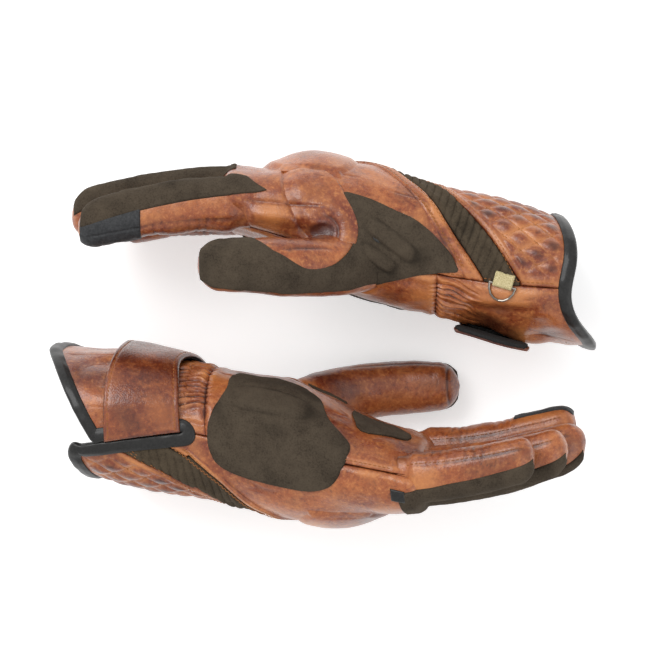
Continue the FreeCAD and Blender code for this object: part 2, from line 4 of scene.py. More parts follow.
import bpy
import numpy as np
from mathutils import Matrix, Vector


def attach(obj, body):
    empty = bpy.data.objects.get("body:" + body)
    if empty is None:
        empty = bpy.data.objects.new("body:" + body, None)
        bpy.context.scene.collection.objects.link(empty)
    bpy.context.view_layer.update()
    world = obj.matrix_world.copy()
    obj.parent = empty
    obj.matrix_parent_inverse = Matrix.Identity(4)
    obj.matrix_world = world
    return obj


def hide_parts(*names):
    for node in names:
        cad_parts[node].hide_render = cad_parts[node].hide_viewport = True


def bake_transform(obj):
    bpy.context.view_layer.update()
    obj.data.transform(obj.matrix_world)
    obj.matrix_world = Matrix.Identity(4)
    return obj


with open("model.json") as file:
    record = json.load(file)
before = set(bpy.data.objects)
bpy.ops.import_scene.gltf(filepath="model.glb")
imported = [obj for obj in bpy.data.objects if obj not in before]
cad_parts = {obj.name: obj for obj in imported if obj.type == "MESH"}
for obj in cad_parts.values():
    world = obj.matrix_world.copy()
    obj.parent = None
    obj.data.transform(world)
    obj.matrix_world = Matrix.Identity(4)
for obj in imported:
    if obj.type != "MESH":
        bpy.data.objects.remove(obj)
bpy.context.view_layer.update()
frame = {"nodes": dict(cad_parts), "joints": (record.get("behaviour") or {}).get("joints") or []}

# Glove frame, in millimetres: x from the cuff to the fingertips, y to the thumb side, z to the
# back of the hand. Angles go round the arm from the back of the hand towards the thumb side.

mm = 0.001

hand = {
    "form": (  # x, half width, half height
        (-8, 42, 31), (22, 44.5, 35), (46, 42.5, 37), (79, 36.5, 36), (106, 39.5, 37.5), (131, 43.5, 37),
        (157, 45, 29.5), (180, 45, 22.5), (196, 44, 18.5)),
    "endX": 196.0,
    "cuffDrop": 19.5,
    "rootRise": 30.0,
    "squareness": 2.35,
    "cuffSlant": 18.0,
    "endSoft": 9.5,  # the finger end rounds off between the fingers
    "endTuck": 0.25,
    "waves": ((0.55, 38), (0.13, 14)),  # height, length
}

finger = {
    "width": 21.7,
    "gap": 0.9,
    "start": 0.3,
    "tipShare": 0.86,
    "form": ((0, 1), (0.3, 0.97), (0.6, 0.93), (0.8, 0.86), (0.93, 0.66), (1, 0.3)),  # share, scale
    "waves": ((0.22, 30), (0.08, 10)),
    "bendX": (189, 214),
    "bends": (0.24, 0.52),
    "seamAngle": 122,
    "skinForm": ((0, 1), (0.3, 0.97), (0.6, 0.93), (0.86, 0.87), (1, 0.84)),
    "places": {  # height, rise, length, drop of the tip
        "index": (29.5, 25.5, 85, 12.5),
        "middle": (31, 32, 91, 13),
        "ring": (30, 30, 83, 12),
        "little": (27, 25, 67, 8),
    },
}

thumb = {
    "rootX": 114.0,
    "splitX": 163.0,
    "length": 52.0,
    "tipX": 215.0,
    "height": 30.0,
    "width": 28.0,
    "out": 62.0,
    "low": 8.5,
    "rootOut": 22.0,
    "tipShare": 0.26,
    "seamAngle": 197,
    "tipSeamX": 209.6,
    "waves": ((0.25, 32), (0.08, 10)),
    "bendX": (152, 177),
    "suedeX": 119.0,
}


def mix(a, b, share):
    return a + (b - a) * share


def shareOf(value, start, end):
    return np.clip((value - start) / (end - start), 0, 1)


def smoothStep(value, start, end):
    u = shareOf(value, start, end)
    return u * u * (3 - 2 * u)


def bell(value, width):
    return np.exp(-(value / width) ** 2)


def between(value, rise, fall):
    return smoothStep(value, *rise) * (1 - smoothStep(value, *fall))


def halfTurned(angle):
    return np.mod(angle + 180, 360) - 180


def shareGrid(rows, columns):
    return np.meshgrid(np.linspace(0, 1, rows + 1), np.linspace(0, 1, columns + 1), indexing="ij")


def asArrays(*values):
    return np.broadcast_arrays(*(np.asarray(value, float) for value in values))


def smoothThrough(rows, at, item):
    rows = np.array(sorted(rows), float)  # a smooth curve through rows that start with their place
    xs, ys = rows[:, 0], rows[:, item]
    last = len(xs) - 1
    index = np.arange(last + 1)
    before, after = np.maximum(index - 1, 0), np.minimum(index + 1, last)
    slope = (ys[after] - ys[before]) / (xs[after] - xs[before])
    i = np.clip(np.searchsorted(xs, at, "right") - 1, 0, last - 1)
    span = xs[i + 1] - xs[i]
    u = np.clip((at - xs[i]) / span, 0, 1)
    return (ys[i] * (2 * u ** 3 - 3 * u ** 2 + 1) + slope[i] * span * (u ** 3 - 2 * u ** 2 + u)
            + ys[i + 1] * (3 * u ** 2 - 2 * u ** 3) + slope[i + 1] * span * (u ** 3 - u ** 2))


def axisZ(x):
    return mix(-hand["cuffDrop"], hand["rootRise"], x / hand["endX"])


def handRadius(x, angle, grow=0.0):
    wide = smoothThrough(hand["form"], x, 1) + grow
    high = smoothThrough(hand["form"], x, 2) + grow
    s, c = np.sin(np.radians(angle)), np.cos(np.radians(angle))
    power = hand["squareness"]
    return (np.abs(s / wide) ** power + np.abs(c / high) ** power) ** (-1 / power)


def handPoint(x, angle, grow=0.0):
    x, angle = np.broadcast_arrays(np.asarray(x, float), np.asarray(angle, float))
    radius = handRadius(x, angle, grow)
    s, c = np.sin(np.radians(angle)), np.cos(np.radians(angle))
    return np.stack([x, radius * s, axisZ(x) + radius * c], -1)


def turnBy(x, angle, length):
    return np.degrees(length / handRadius(x, angle))  # the angle that a length along the skin spans


def softCorner(angle, wide, high):
    s, c = np.sin(np.radians(angle)), np.cos(np.radians(angle))
    power = 2 / hand["squareness"]
    return wide * np.sign(s) * np.abs(s) ** power, high * np.sign(c) * np.abs(c) ** power


def fingerPlace(name):
    order = list(finger["places"]).index(name)
    height, rise, length, drop = finger["places"][name]
    return (1.5 - order) * (finger["width"] + finger["gap"]), rise, length, height, drop


def thumbForm():
    tip, middle = thumb["tipX"], (thumb["rootX"] + thumb["splitX"]) / 2
    low, out, wide, high = thumb["low"], thumb["out"], thumb["width"], thumb["height"]
    return (
        (thumb["rootX"], thumb["rootOut"], low - 1, 0.46 * wide, 0.42 * high),
        (middle, mix(thumb["rootOut"], out, 0.45), low, 0.53 * wide, 0.5 * high),
        (thumb["splitX"], out - 8, low + 0.5, 0.53 * wide, 0.52 * high),
        (tip - 0.6 * thumb["length"], out - 2, low, 0.5 * wide, 0.5 * high),
        (tip - 0.24 * thumb["length"], out, low - 0.5, 0.46 * wide, 0.44 * high),
        (tip - 0.07 * thumb["length"], out, low - 1, 0.32 * wide, 0.31 * high),
        (tip, out, low - 1, 0.14 * wide, 0.14 * high),
    )


# The place of each glove, from the hinges of its fingers and thumb

def glovePlacement(side):
    local, placed = [], []
    for joint in frame["joints"]:
        name = joint["name"].replace(side + "_", "").replace("_flex", "")
        if joint["name"].startswith(side) and name in finger["places"]:
            y, rise, _, height, _ = fingerPlace(name)
            local.append((hand["endX"] + finger["start"] / 2, y, rise - height / 2))
            placed.append(joint["pos_m"])
        elif joint["name"] == side + "_thumb_flex":
            local.append((thumb["splitX"] - finger["start"] / 2, thumb["out"] - 8,
                          -thumb["low"] - 0.5 - 0.52 * thumb["height"]))
            placed.append(joint["pos_m"])
    local, placed = np.array(local) * mm, np.array(placed)
    a, b = local - local.mean(0), placed - placed.mean(0)
    u, _, vt = np.linalg.svd(a.T @ b)
    wanted = -1.0 if side == "left" else 1.0
    flip = np.diag([1, 1, wanted * np.sign(np.linalg.det(u @ vt))])
    turn = (u @ flip @ vt).T
    shift = placed.mean(0) - turn @ local.mean(0)
    print(side, "glove placed, largest miss in mm:",
          round(float(np.abs(local @ turn.T + shift - placed).max() / mm), 3))
    return turn, shift


placement = {side: glovePlacement(side) for side in ("right", "left")}


def inFrame(side, points):
    turn, shift = placement[side]
    return points @ (turn * mm).T + shift


# Distances from the forms, and the soft joints between them

def handGap(points):
    x, y, z = np.moveaxis(points, -1, 0)
    inX = np.clip(x, -8, hand["endX"])
    up = z - axisZ(inX)
    radius = handRadius(inX, np.degrees(np.arctan2(y, up)))
    return np.hypot(np.hypot(y, up) - radius, np.maximum(x - hand["endX"], 0)) * np.sign(
        np.where(x > hand["endX"], 1, np.hypot(y, up) - radius))


def sectionGap(y, z, wide, high):
    wide, high = np.maximum(wide, 0.5), np.maximum(high, 0.5)
    power = hand["squareness"]
    level = (np.abs(y / wide) ** power + np.abs(z / high) ** power) ** (1 / power)
    return (level - 1) * np.minimum(wide, high)


def thumbGap(points):
    x, y, z = np.moveaxis(points, -1, 0)
    tip = thumb["tipX"]
    inX = np.clip(x, thumb["rootX"], tip)
    out, low, wide, high = (smoothThrough(thumbForm(), inX, k) for k in (1, 2, 3, 4))
    return np.maximum(sectionGap(y - out, z + low, wide, high), np.maximum(x - tip, thumb["rootX"] - x))


def fingerGap(points, name):
    x, y, z = np.moveaxis(points, -1, 0)
    place, rise, length, height, drop = fingerPlace(name)
    share = np.clip((x - hand["endX"]) / length, -0.1, 1)
    scale = smoothThrough(finger["form"], np.maximum(share, 0), 1)
    z = z - rise + drop * np.sign(share) * share ** 2
    gap = sectionGap(y - place, z, finger["width"] / 2 * scale, height / 2 * scale)
    return np.maximum(gap, hand["endX"] - 8 - x)


def fillet(gap, reach):
    return np.clip(reach - np.abs(gap), 0, reach) ** 2 / (4 * reach)


# Softness of the leather

def softWaves(points, length, seed, stretch=(1, 1, 1)):
    rng = np.random.default_rng(seed)
    ways = rng.normal(size=(22, 3))
    ways /= np.linalg.norm(ways, axis=1)[:, None]
    ways *= (2 * np.pi / length) * rng.uniform(0.65, 1.5, (22, 1)) / np.array(stretch)
    phases = rng.uniform(0, 2 * np.pi, 22)
    total = np.zeros(points.shape[:-1])
    for way, phase in zip(ways, phases):
        total += np.cos(points @ way + phase)
    return total / math.sqrt(11)


def swell(points, waves, seed):
    return sum(high * softWaves(points, length, seed + k) for k, (high, length) in enumerate(waves))


def folds(points, length, seed, stretch=(1, 1, 1), width=0.16):
    field = softWaves(points, length, seed, stretch)
    return bell(field, width)


def roundedEdge(distance, radius):
    u = np.clip(distance / radius, 0, 1)
    return radius * (np.sqrt(1 - (1 - u) ** 2) - 1)


def seamPuff(distance):
    return 0.75 * bell(distance - 4.0, 2.6)


# Meshes

def gridFaces(rows, columns, start=0, flip=False, round=False):
    i, j = np.meshgrid(np.arange(rows), np.arange(columns), indexing="ij")
    wide = columns if round else columns + 1
    k = (j + 1) % wide
    a = start + i * wide
    faces = np.stack([a + j, a + k, a + wide + k, a + wide + j], -1).reshape(-1, 4)
    return faces[:, ::-1] if flip else faces


def sheetMesh(outer, inner):
    rows, columns = outer.shape[0] - 1, outer.shape[1] - 1
    count = (rows + 1) * (columns + 1)
    ids = np.arange(count).reshape(rows + 1, columns + 1)
    faces = [gridFaces(rows, columns), gridFaces(rows, columns, count, True)]
    for line, turned in ((ids[0], True), (ids[-1], False), (ids[:, 0], False), (ids[:, -1], True)):
        a, b = line[:-1], line[1:]
        wall = np.stack([a, b, b + count, a + count], -1)
        faces.append(wall[:, ::-1] if turned else wall)
    return np.concatenate([outer.reshape(-1, 3), inner.reshape(-1, 3)]), np.concatenate(faces)


def tubeMesh(loops, closedLength=False):
    rows, around = loops.shape[:2]
    faces = [gridFaces(rows - 1, around, 0, False, True)]
    end = (rows - 1) * around
    if closedLength:
        a, b = np.arange(around), (np.arange(around) + 1) % around
        faces.append(np.stack([end + a, end + b, b, a], -1))
    else:
        faces += [capFaces(around, 0, True), capFaces(around, end)]
    return loops.reshape(-1, 3), np.concatenate(faces)


def capFaces(around, start, flip=False):
    half = around // 2  # quads from one side of the loop to the other
    faces = np.array([(start + i, start + i + 1, start + around - i - 2, start + around - i - 1)
                      for i in range(half - 1)])
    return faces if flip else faces[:, ::-1]


def linked(name, data):
    obj = bpy.data.objects.new(name, data)
    bpy.context.collection.objects.link(obj)
    return obj


def makeObject(name, points, faces, side, material, wear=None):
    mesh = bpy.data.meshes.new(name)
    mesh.from_pydata(inFrame(side, points), [], (faces if side == "right" else faces[:, ::-1]).tolist())
    mesh.polygons.foreach_set("use_smooth", [True] * len(mesh.polygons))
    spot = points + (0.0 if side == "right" else 700.0)  # the grain differs from one glove to the other
    wear = np.zeros(len(points)) if wear is None else wear
    # The second attribute holds the leather's tone and wear together with painted shade in creases, seams and
    # hollows, and painted highlights on puffed leather.
    for title, kind, item, values in (("restPoint", "FLOAT_VECTOR", "vector", spot),
                                      ("wear", "FLOAT", "value", wear)):
        layer = mesh.attributes.new(title, kind, "POINT")
        layer.data.foreach_set(item, values.astype(np.float32).ravel())
    mesh.materials.append(material)
    mesh.update()
    obj = linked(name, mesh)
    if meshVolume(obj) < 0:
        mesh.flip_normals()
    return obj


def sheetPiece(name, side, outer, inner, material, wear=None):
    if wear is not None:
        wear = np.concatenate([wear.ravel(), np.full(wear.size, -0.9)])  # the hidden side is the darker one
    return makeObject(side + name, *sheetMesh(outer, inner), side, material, wear)


def meshVolume(obj):
    mesh = obj.data
    mesh.calc_loop_triangles()
    corners = np.empty(len(mesh.loop_triangles) * 3, np.int32)
    mesh.loop_triangles.foreach_get("vertices", corners)
    places = np.empty(len(mesh.vertices) * 3, np.float32)
    mesh.vertices.foreach_get("co", places)
    a, b, c = places.reshape(-1, 3)[corners.reshape(-1, 3)].astype(float).transpose(1, 0, 2)
    middle = a.mean(0)
    return float(np.einsum("ij,ij->i", a - middle, np.cross(b - middle, c - middle)).sum())


def rowDistance(grid):
    steps = np.linalg.norm(np.diff(grid, axis=0), axis=-1)
    along = np.concatenate([np.zeros((1, grid.shape[1])), np.cumsum(steps, 0)])
    return np.minimum(along, along[-1] - along)


def borderDistance(grid):
    return rowDistance(grid), rowDistance(grid.transpose(1, 0, 2)).T


def borderOf(grid):
    return np.minimum(*borderDistance(grid))


# Places on one glove, as on the pattern that it is cut from

panel = {
    "leather": 1.6,
    "slitEndX": 77.0,
    "slitHeight": -7.0,
    "slitWidth": 4.6,
    "bandPeakX": 125.0,
    "bandThumbX": 62.0,
    "bandLittleX": 59.0,
    "bandWidth": 19.0,
    "bandLittleWidth": 24.0,
    "bandPeakWidth": 27.0,
    "ribPitch": 4.2,
    "ribHeight": 1.1,
    "ribLean": 16.0,
    "thumbNotch": 10.5,
    "slitNotch": 18.5,
    "slitCorner": 14.0,
    "diamondAlong": 17.0,
    "diamondAcross": 12.0,
    "diamondRadius": 40.0,
    "waistX": 87.2,
    "slitTurn": -92.0,  # nominal angles of the seams
    "thumbTurn": 110.0,
    "farTurn": 268.0,
    "fingerEndX": 205.0,
}


def cuffEdge(angle):
    around = np.mod(np.asarray(angle, float) + 258, 360) - 180  # from the slit
    toThumb = np.mod(np.asarray(angle, float) + 74, 360) - 180
    palm = panel["slitNotch"] * np.clip(1 + around / 85, 0, 1) ** 1.25
    corner = 1 - np.clip(around * 0.73 / panel["slitCorner"], 0, 1)
    back = panel["slitCorner"] * (1 - np.sqrt(1 - corner ** 2))
    notch = np.where(around < 0, palm, back) + panel["thumbNotch"] * bell(toThumb, 28)
    return hand["cuffSlant"] / 2 * (1 + np.cos(np.radians(angle))) + notch


def cuffStart(nominal):
    slit, middle, far = panel["slitTurn"], panel["thumbTurn"], panel["farTurn"]
    back = mix(-77.0, 98.0, shareOf(nominal, slit, middle))
    return cuffEdge(np.where(nominal <= middle, back, mix(98.0, 276.5, shareOf(nominal, middle, far))))


def littleSeam(x):
    at = np.minimum(x, panel["slitEndX"])
    high = smoothThrough(hand["form"], at, 2)
    return 2.0 - np.degrees(np.arccos((panel["slitHeight"] - axisZ(at)) / high))


def thumbSeam(x):
    return mix(97.0, 113.0, shareOf(x, hand["cuffSlant"], 79.0))


def slitHalf(x):
    nose = panel["slitWidth"] / 2
    inside = np.clip(1 - (panel["slitEndX"] - x) / nose, 0, 1)
    return np.where(x >= panel["slitEndX"], 0.1, np.maximum(0.1, nose * np.sqrt(1 - inside ** 2)))


def bandHigh(angle):
    thumbWay = mix(panel["bandPeakX"], panel["bandThumbX"], shareOf(angle, 4, 108) ** 0.72)
    littleWay = mix(panel["bandPeakX"], panel["bandLittleX"], shareOf(angle, 4, -92) ** 1.42)
    return np.where(np.asarray(angle) >= 4, thumbWay, littleWay)


def bandLow(angle):
    side = np.where(np.asarray(angle) >= 0, panel["bandWidth"], panel["bandLittleWidth"])
    return bandHigh(angle) - mix(panel["bandPeakWidth"], side, smoothStep(np.abs(angle), 0, 45))


def calmBy(x, angle):
    seam = littleSeam(x)  # the folds fade towards the bound edges, which lie flat
    around = halfTurned(angle - seam)
    toSlit = np.hypot(np.radians(around) * handRadius(x, -90.0), np.maximum(x - panel["slitEndX"], 0))
    toSlit = np.maximum(toSlit - panel["slitWidth"] / 2, 0)
    return smoothStep(np.minimum(x - cuffEdge(angle), toSlit), 4.0, 13.0)


def skinPlaces(turns, xLow, xHigh, size):
    s, t = shareGrid(*size)
    nominal = mix(*turns, s)
    x = mix(xLow(nominal), xHigh(nominal), t)
    return x, turnBy(x, -90, slitHalf(x)), s


def backSkin(xLow, xHigh, *size):
    x, half, s = skinPlaces((panel["slitTurn"], panel["thumbTurn"]), xLow, xHigh, size)
    return x, mix(littleSeam(x) + half, thumbSeam(x), s)


def palmSkin(xLow, xHigh, *size):
    x, half, s = skinPlaces((panel["thumbTurn"], panel["farTurn"]), xLow, xHigh, size)
    return x, mix(thumbSeam(x), 360 + littleSeam(x) - half, s)


def plain(value):
    return lambda angle: value + 0 * angle


# One glove's outer form

def shellPoint(x, angle, grow=0.0):
    inX = np.minimum(x, hand["endX"])
    over = np.clip((np.asarray(x, float) - hand["endX"]) / hand["endSoft"], 0, 1)
    scale = np.sqrt(1 - over ** 2)
    points = handPoint(inX, angle, grow).copy()
    middle = axisZ(inX)
    points[..., 0] = x
    points[..., 1] *= mix(1, scale, hand["endTuck"])
    points[..., 2] = middle + (points[..., 2] - middle) * scale
    return points


def fingerTip(share):
    return np.clip((share - finger["tipShare"]) / (1 - finger["tipShare"]), 0, 1)


def fingerScale(share):
    base = smoothThrough(finger["skinForm"], np.clip(share, 0, 1), 1)
    return base * np.sqrt(np.maximum(1 - fingerTip(share) ** 2.3, 0.004))


def fingerSurface(name, share, angle, grow=0.0):
    y, rise, length, height, drop = fingerPlace(name)
    share, angle, grow = asArrays(share, angle, grow)
    scale = fingerScale(share)
    across, up = softCorner(angle, finger["width"] / 2 * scale + grow, height / 2 * scale + grow)
    x = hand["endX"] + finger["start"] + share * length + grow * fingerTip(share) ** 2
    return np.stack([x, y + across, rise - drop * np.sign(share) * share ** 2 + up], -1)


def thumbSurface(x, angle, grow=0.0):
    x, angle, grow = asArrays(x, angle, grow)
    roundX = thumb["tipX"] - thumb["tipShare"] * thumb["length"]
    y, low, wide, high = (smoothThrough(thumbForm(), np.minimum(x, roundX), k) for k in (1, 2, 3, 4))
    over = shareOf(x, roundX, thumb["tipX"])
    end = np.sqrt(np.maximum(1 - over ** 2.2, 0.004))
    across, up = softCorner(angle, wide * end + grow, high * end + grow)
    return np.stack([x + grow * over ** 2, y + across, up - low], -1)


def bump(points, x, y, z, size):
    away = (points[..., 0] - x) ** 2 + (points[..., 1] - y) ** 2 + (points[..., 2] - z) ** 2
    return np.exp(-away / size ** 2)


def crotchFold(points):
    x, z = points[..., 0], points[..., 2]  # the roll of leather that ends in the hollow beside the thumb
    side = smoothStep(points[..., 1], 20, 32)
    pit = np.exp(-(((x - 149) / 6.5) ** 2 + ((z - 10.5) / 4.5) ** 2) ** 1.5) * side
    along = between(x, (146, 153), (182, 196)) * side
    middle = 16.5 + 0.09 * (x - 150)
    rolled = bell(z - middle, 4.2) * along
    crease = bell(z - middle - 7.2, 0.9) * along
    return pit, rolled, crease


def shortFolds(points, length, seed, stretch, away, least):
    return folds(points, length, seed + 2, stretch, 0.1) * np.clip(softWaves(points, *away) - least, 0, 1)


def skinHeight(points, x, angle, seed):
    around, turned = halfTurned(angle), np.mod(angle, 360)
    quilted = smoothStep(bandLow(around) - x, -2, 4) * between(around, (-98, -90), (106, 114))
    high = swell(points, hand["waves"], seed) * (1 - 0.75 * quilted)
    creases = shortFolds(points, 19, seed, (2.8, 1, 1), (44, seed + 3), 0.2) * (1 - quilted)
    onPalm = smoothStep(np.abs(around), 104, 122)
    cuffFolds = onPalm * between(x, (14, 34), (72, 84))
    high = high + 1.0 * cuffFolds * softWaves(points, 24, seed + 7, (2.4, 1, 1)) - 0.4 * creases
    high = high * calmBy(x, angle)
    high += fillet(thumbGap(points), 11) * (points[..., 1] > 20) * smoothStep(x, 114, 130)
    for name in finger["places"]:
        high += 0.9 * fillet(fingerGap(points, name), 5) * smoothStep(x, 180, 194)
    pit, rolled, crease = crotchFold(points)
    high += 2.6 * rolled - 1.0 * crease - 2.6 * pit
    fold = np.radians(turned - mix(113, 137, shareOf(x, 26, 76))) * 40
    folded = between(x, (22, 36), (66, 80)) * (turned < 200)
    valley = bell(fold - 1, 3.2)
    high += folded * (1.3 * bell(fold + 5, 4) - 1.0 * valley)
    gather = onPalm * between(x, (60, 76), (84.5, 92))
    arc = np.radians(turned) * 38 + 1.5 * softWaves(points, 19, seed + 6) + 0.3 * (x - 78)
    ruffles = 0.75 * np.cos(2 * np.pi * arc / 4.1) + 0.35 * np.cos(2 * np.pi * arc / 2.5 + 1)
    high += gather * ruffles
    gathered = gather * np.clip(-ruffles, 0, 1)
    waist = bell(x - panel["waistX"], 1.4) * smoothStep(np.abs(around), 106, 118)
    high -= 0.6 * waist
    # dark is painted shade: it darkens the colour in the creases, the hollow beside the thumb, the crease
    # above the roll, the valleys of the gathers, the waist seam and the valley of the fold.
    dark = 0.45 * creases + 2.4 * pit + 0.8 * crease + 1.1 * gathered + 0.5 * waist
    return high, dark + 0.5 * folded * valley


def skinAt(x, angle, seed):
    flat = shellPoint(x, angle)
    return flat, borderOf(flat), *skinHeight(flat, x, angle, seed)


def leatherWearAndShade(points, high, dark, seed, size=30, stretch=(1, 1, 1)):
    # Random tone, lighter where the leather stands up and darker where it sinks as painted highlight and
    # shade, less the painted crease shade that comes in as dark.
    return 0.3 * softWaves(points, size, seed + 9, stretch) + 0.2 * np.clip(high, -1.5, 1.5) - dark


def suedeWearAndShade(points, dark, border, seed, size=22, depth=0.3):
    # Random mottle, less the painted crease shade that comes in as dark, and darker along the edges.
    return depth * softWaves(points, size, seed + 9) - 0.4 * dark - 0.4 * np.exp(-border / 0.9)


def suedeLift(points, border, seed, lift):
    return lift + roundedEdge(border, 0.7) + 0.08 * softWaves(points, 7, seed + 8)


def underPatches(x, angle):
    inside = np.zeros(np.shape(x))
    for name in ("thenar", "heel", "crotch", "gusset"):
        form = patch[name]
        ends = sorted((form[0][0], form[-1][0]))
        turned = np.mod(angle - sum(ends) / 2 + 180, 360) - 180 + sum(ends) / 2
        alongIn = np.minimum(x - smoothThrough(form, turned, 1), smoothThrough(form, turned, 2) - x)
        aroundIn = 0.66 * np.minimum(turned - ends[0], ends[1] - turned)
        inside = np.maximum(inside, smoothStep(np.minimum(alongIn, aroundIn), 0.6, 2.4))
    around = halfTurned(angle)
    half = guard["coverHalf"] * (1 - 0.3 * np.clip(around / guard["coverTurn"], -1, 1) ** 4)
    overGuard = np.minimum(half - np.abs(x - guard["x"]), 0.55 * (guard["coverTurn"] - np.abs(around)))
    return np.maximum(inside, smoothStep(overGuard, 9, 12))


def leatherSheet(side, name, places, seed, material, shape=None, edge=1.3):
    x, angle = places
    flat = shellPoint(x, angle)
    high, dark = skinHeight(flat, x, angle, seed)
    acrossRows, acrossColumns = borderDistance(flat)
    border = np.minimum(acrossRows, acrossColumns)
    calm = calmBy(x, angle)
    high = high + (seamPuff(border) - 0.2) * calm + roundedEdge(border, edge) - 1.5 * underPatches(x, angle)
    wear = leatherWearAndShade(flat, high, dark, seed)
    wear = wear - 0.9 * np.exp(-border / 0.6) + 0.5 * bell(border - 2.6, 1.8)
    if shape is not None:
        extra, tint = shape(x, angle, acrossRows, acrossColumns)
        high, wear = high + extra * calm, wear + tint
    outer = shellPoint(x, angle, high)
    inner = shellPoint(x, angle, np.minimum(high, 0) * 0.6 - panel["leather"])
    return sheetPiece(name, side, outer, inner, material, wear)


def quiltShape(x, angle, acrossRows, acrossColumns):
    u, v = x / panel["diamondAlong"], np.radians(angle) * panel["diamondRadius"] / panel["diamondAcross"]
    puff = np.sqrt(np.abs(np.sin(np.pi * (u + v)) * np.sin(np.pi * (u - v))))
    inside = smoothStep(acrossColumns, 5.5, 8) * smoothStep(acrossRows, 6, 10)
    return inside * (1.9 * puff - 0.9) - 0.3 * (1 - inside), inside * (0.55 - 1.5 * puff ** 2)


def stripShape(x, angle, acrossRows, acrossColumns):
    near = x - bandHigh(angle)
    strip = 1 - smoothStep(near, 9.6, 10.6)
    groove = bell(near - 10.8, 0.6)
    # The groove beside the strip is painted darker as shade; the raised strip is a little lighter.
    return 0.7 * strip - 0.3 * groove, -0.7 * groove + 0.25 * strip


def ribShape(x, angle, acrossRows, acrossColumns):
    lean = panel["ribLean"] * shareOf(angle, 20, 108) ** 1.6
    lean = lean - 0.12 * panel["ribLean"] * shareOf(-angle, 30, 92) ** 1.4
    phase = (x - panel["bandThumbX"] - lean) / panel["ribPitch"]
    rib = np.abs(np.sin(np.pi * phase)) ** 0.4
    # The valleys between the ribs are painted darker as shade, and the rib tops lighter.
    return panel["ribHeight"] * rib - 0.7, 1.1 * rib - 0.85


def leatherPieces(side, seed):
    end = plain(panel["fingerEndX"])
    pieces = (
        ("CuffQuilt", "cuff_quilt_panel", backSkin(cuffStart, lambda a: bandLow(a) - 0.3, 220, 112),
         "leather", quiltShape, 1.3),
        ("PleatedBand", "accordion_panel", backSkin(bandLow, bandHigh, 300, 62), "stretch", ribShape, 0.8),
        ("BackLeather", "back_panel", backSkin(lambda a: bandHigh(a) + 0.3, end, 190, 130),
         "leather", stripShape, 1.3),
        ("CuffPalm", "cuff_palm_panel", palmSkin(cuffStart, plain(87.7), 230, 92), "leather", None, 0.7),
        ("PalmLeather", "palm_panel", palmSkin(plain(86.9), end, 190, 110), "leather", None, 0.7),
    )
    return {title: (leatherSheet(side, title, places, seed, skins[skin], shape, edge), (node,))
            for title, node, places, skin, shape, edge in pieces}


def liningPiece(side):
    x, angle = np.meshgrid(np.linspace(6, 203, 50), np.linspace(-97, 262, 80))
    x = np.maximum(x, cuffEdge(angle) + 3)
    outer, inner = (shellPoint(x, angle, -panel["leather"] - depth) for depth in (1.6, 2.3))
    return {"Lining": (sheetPiece("Lining", side, outer, inner, skins["lining"]), ("hand_lining",))}


# Fingers and thumb

def fingerHeight(name, points, share, angle, seed):
    length = finger["places"][name][2]
    high = swell(points, finger["waves"], seed)
    bends = 0.0
    for place in finger["bends"]:
        crook = bell((share - place) * length, 8.0)
        phase = 2 * np.pi * (share * length - place * length) / 4.6
        lines = np.clip(np.cos(phase + softWaves(points, 16, seed + 3)), 0, 1)
        bends = bends + crook * lines * smoothStep(np.abs(angle), 95, 150)
        high = high - 0.6 * crook * smoothStep(np.abs(angle), 120, 170)
    seam = bell(angle + finger["seamAngle"], 3.5) + bell(angle - finger["seamAngle"], 3.5)
    seam = seam * between(share, (-0.02, 0.06), (0.86, 0.96))
    creases = shortFolds(points, 15, seed, (0.8, 1.8, 1), (34, seed + 5), 0.1)
    high = high - 0.4 * bends - 0.5 * seam - 0.3 * creases
    high = high - 2.4 * (1 - smoothStep(share, -0.03, 0.05))
    # The second value is painted shade in the bend lines, the side seams and the creases.
    return high, 0.5 * bends + 0.9 * seam + 0.4 * creases


def fingerPiece(side, name, seed):
    share, angle = np.meshgrid(1 - (1 - np.linspace(0, 1, 96)) ** 1.25 * 1.09, np.arange(-180, 180, 5.0),
                               indexing="ij")
    flat = fingerSurface(name, share, angle)
    high, dark = fingerHeight(name, flat, share, angle, seed)
    wear = leatherWearAndShade(flat, high, dark, seed, 26, (2.5, 1, 1))
    return makeObject(side + name.capitalize() + "Stall", *tubeMesh(fingerSurface(name, share, angle, high)),
                      side, skins["leather"], wear)


def overFinger(side, name, title, seed, handSeed, starts, end, angles, size, material, lift=0.9):
    s, t = shareGrid(*size)
    first, last, firstTip, lastTip = angles
    share = mix(mix(starts[0], starts[1], s), end, t)
    ramp = t ** 0.7
    angle = mix(mix(first, firstTip, ramp), mix(last, lastTip, ramp), s)
    flat = fingerSurface(name, share, angle)
    high, dark = fingerHeight(name, flat, share, angle, seed)
    high = np.maximum(high, handTop(name, share, angle, handSeed))
    border = borderOf(flat)
    outer = fingerSurface(name, share, angle, high + suedeLift(flat, border, seed, lift))
    inner = fingerSurface(name, share, angle, high - 0.5)
    return sheetPiece(title, side, outer, inner, material, suedeWearAndShade(flat, dark, border, seed, 20, 0.25))


def leatherGap(points, seed):
    x, y, z = np.moveaxis(points, -1, 0)
    scale = np.sqrt(1 - np.clip((x - hand["endX"]) / hand["endSoft"], 0, 0.97) ** 2)
    inX = np.minimum(x, hand["endX"])
    across, up = y / mix(1, scale, hand["endTuck"]), (z - axisZ(inX)) / scale
    angle = np.degrees(np.arctan2(across, up))
    high = skinHeight(shellPoint(x, angle), x, angle, seed)[0]
    return (np.hypot(across, up) - handRadius(inX, angle)) * scale - high


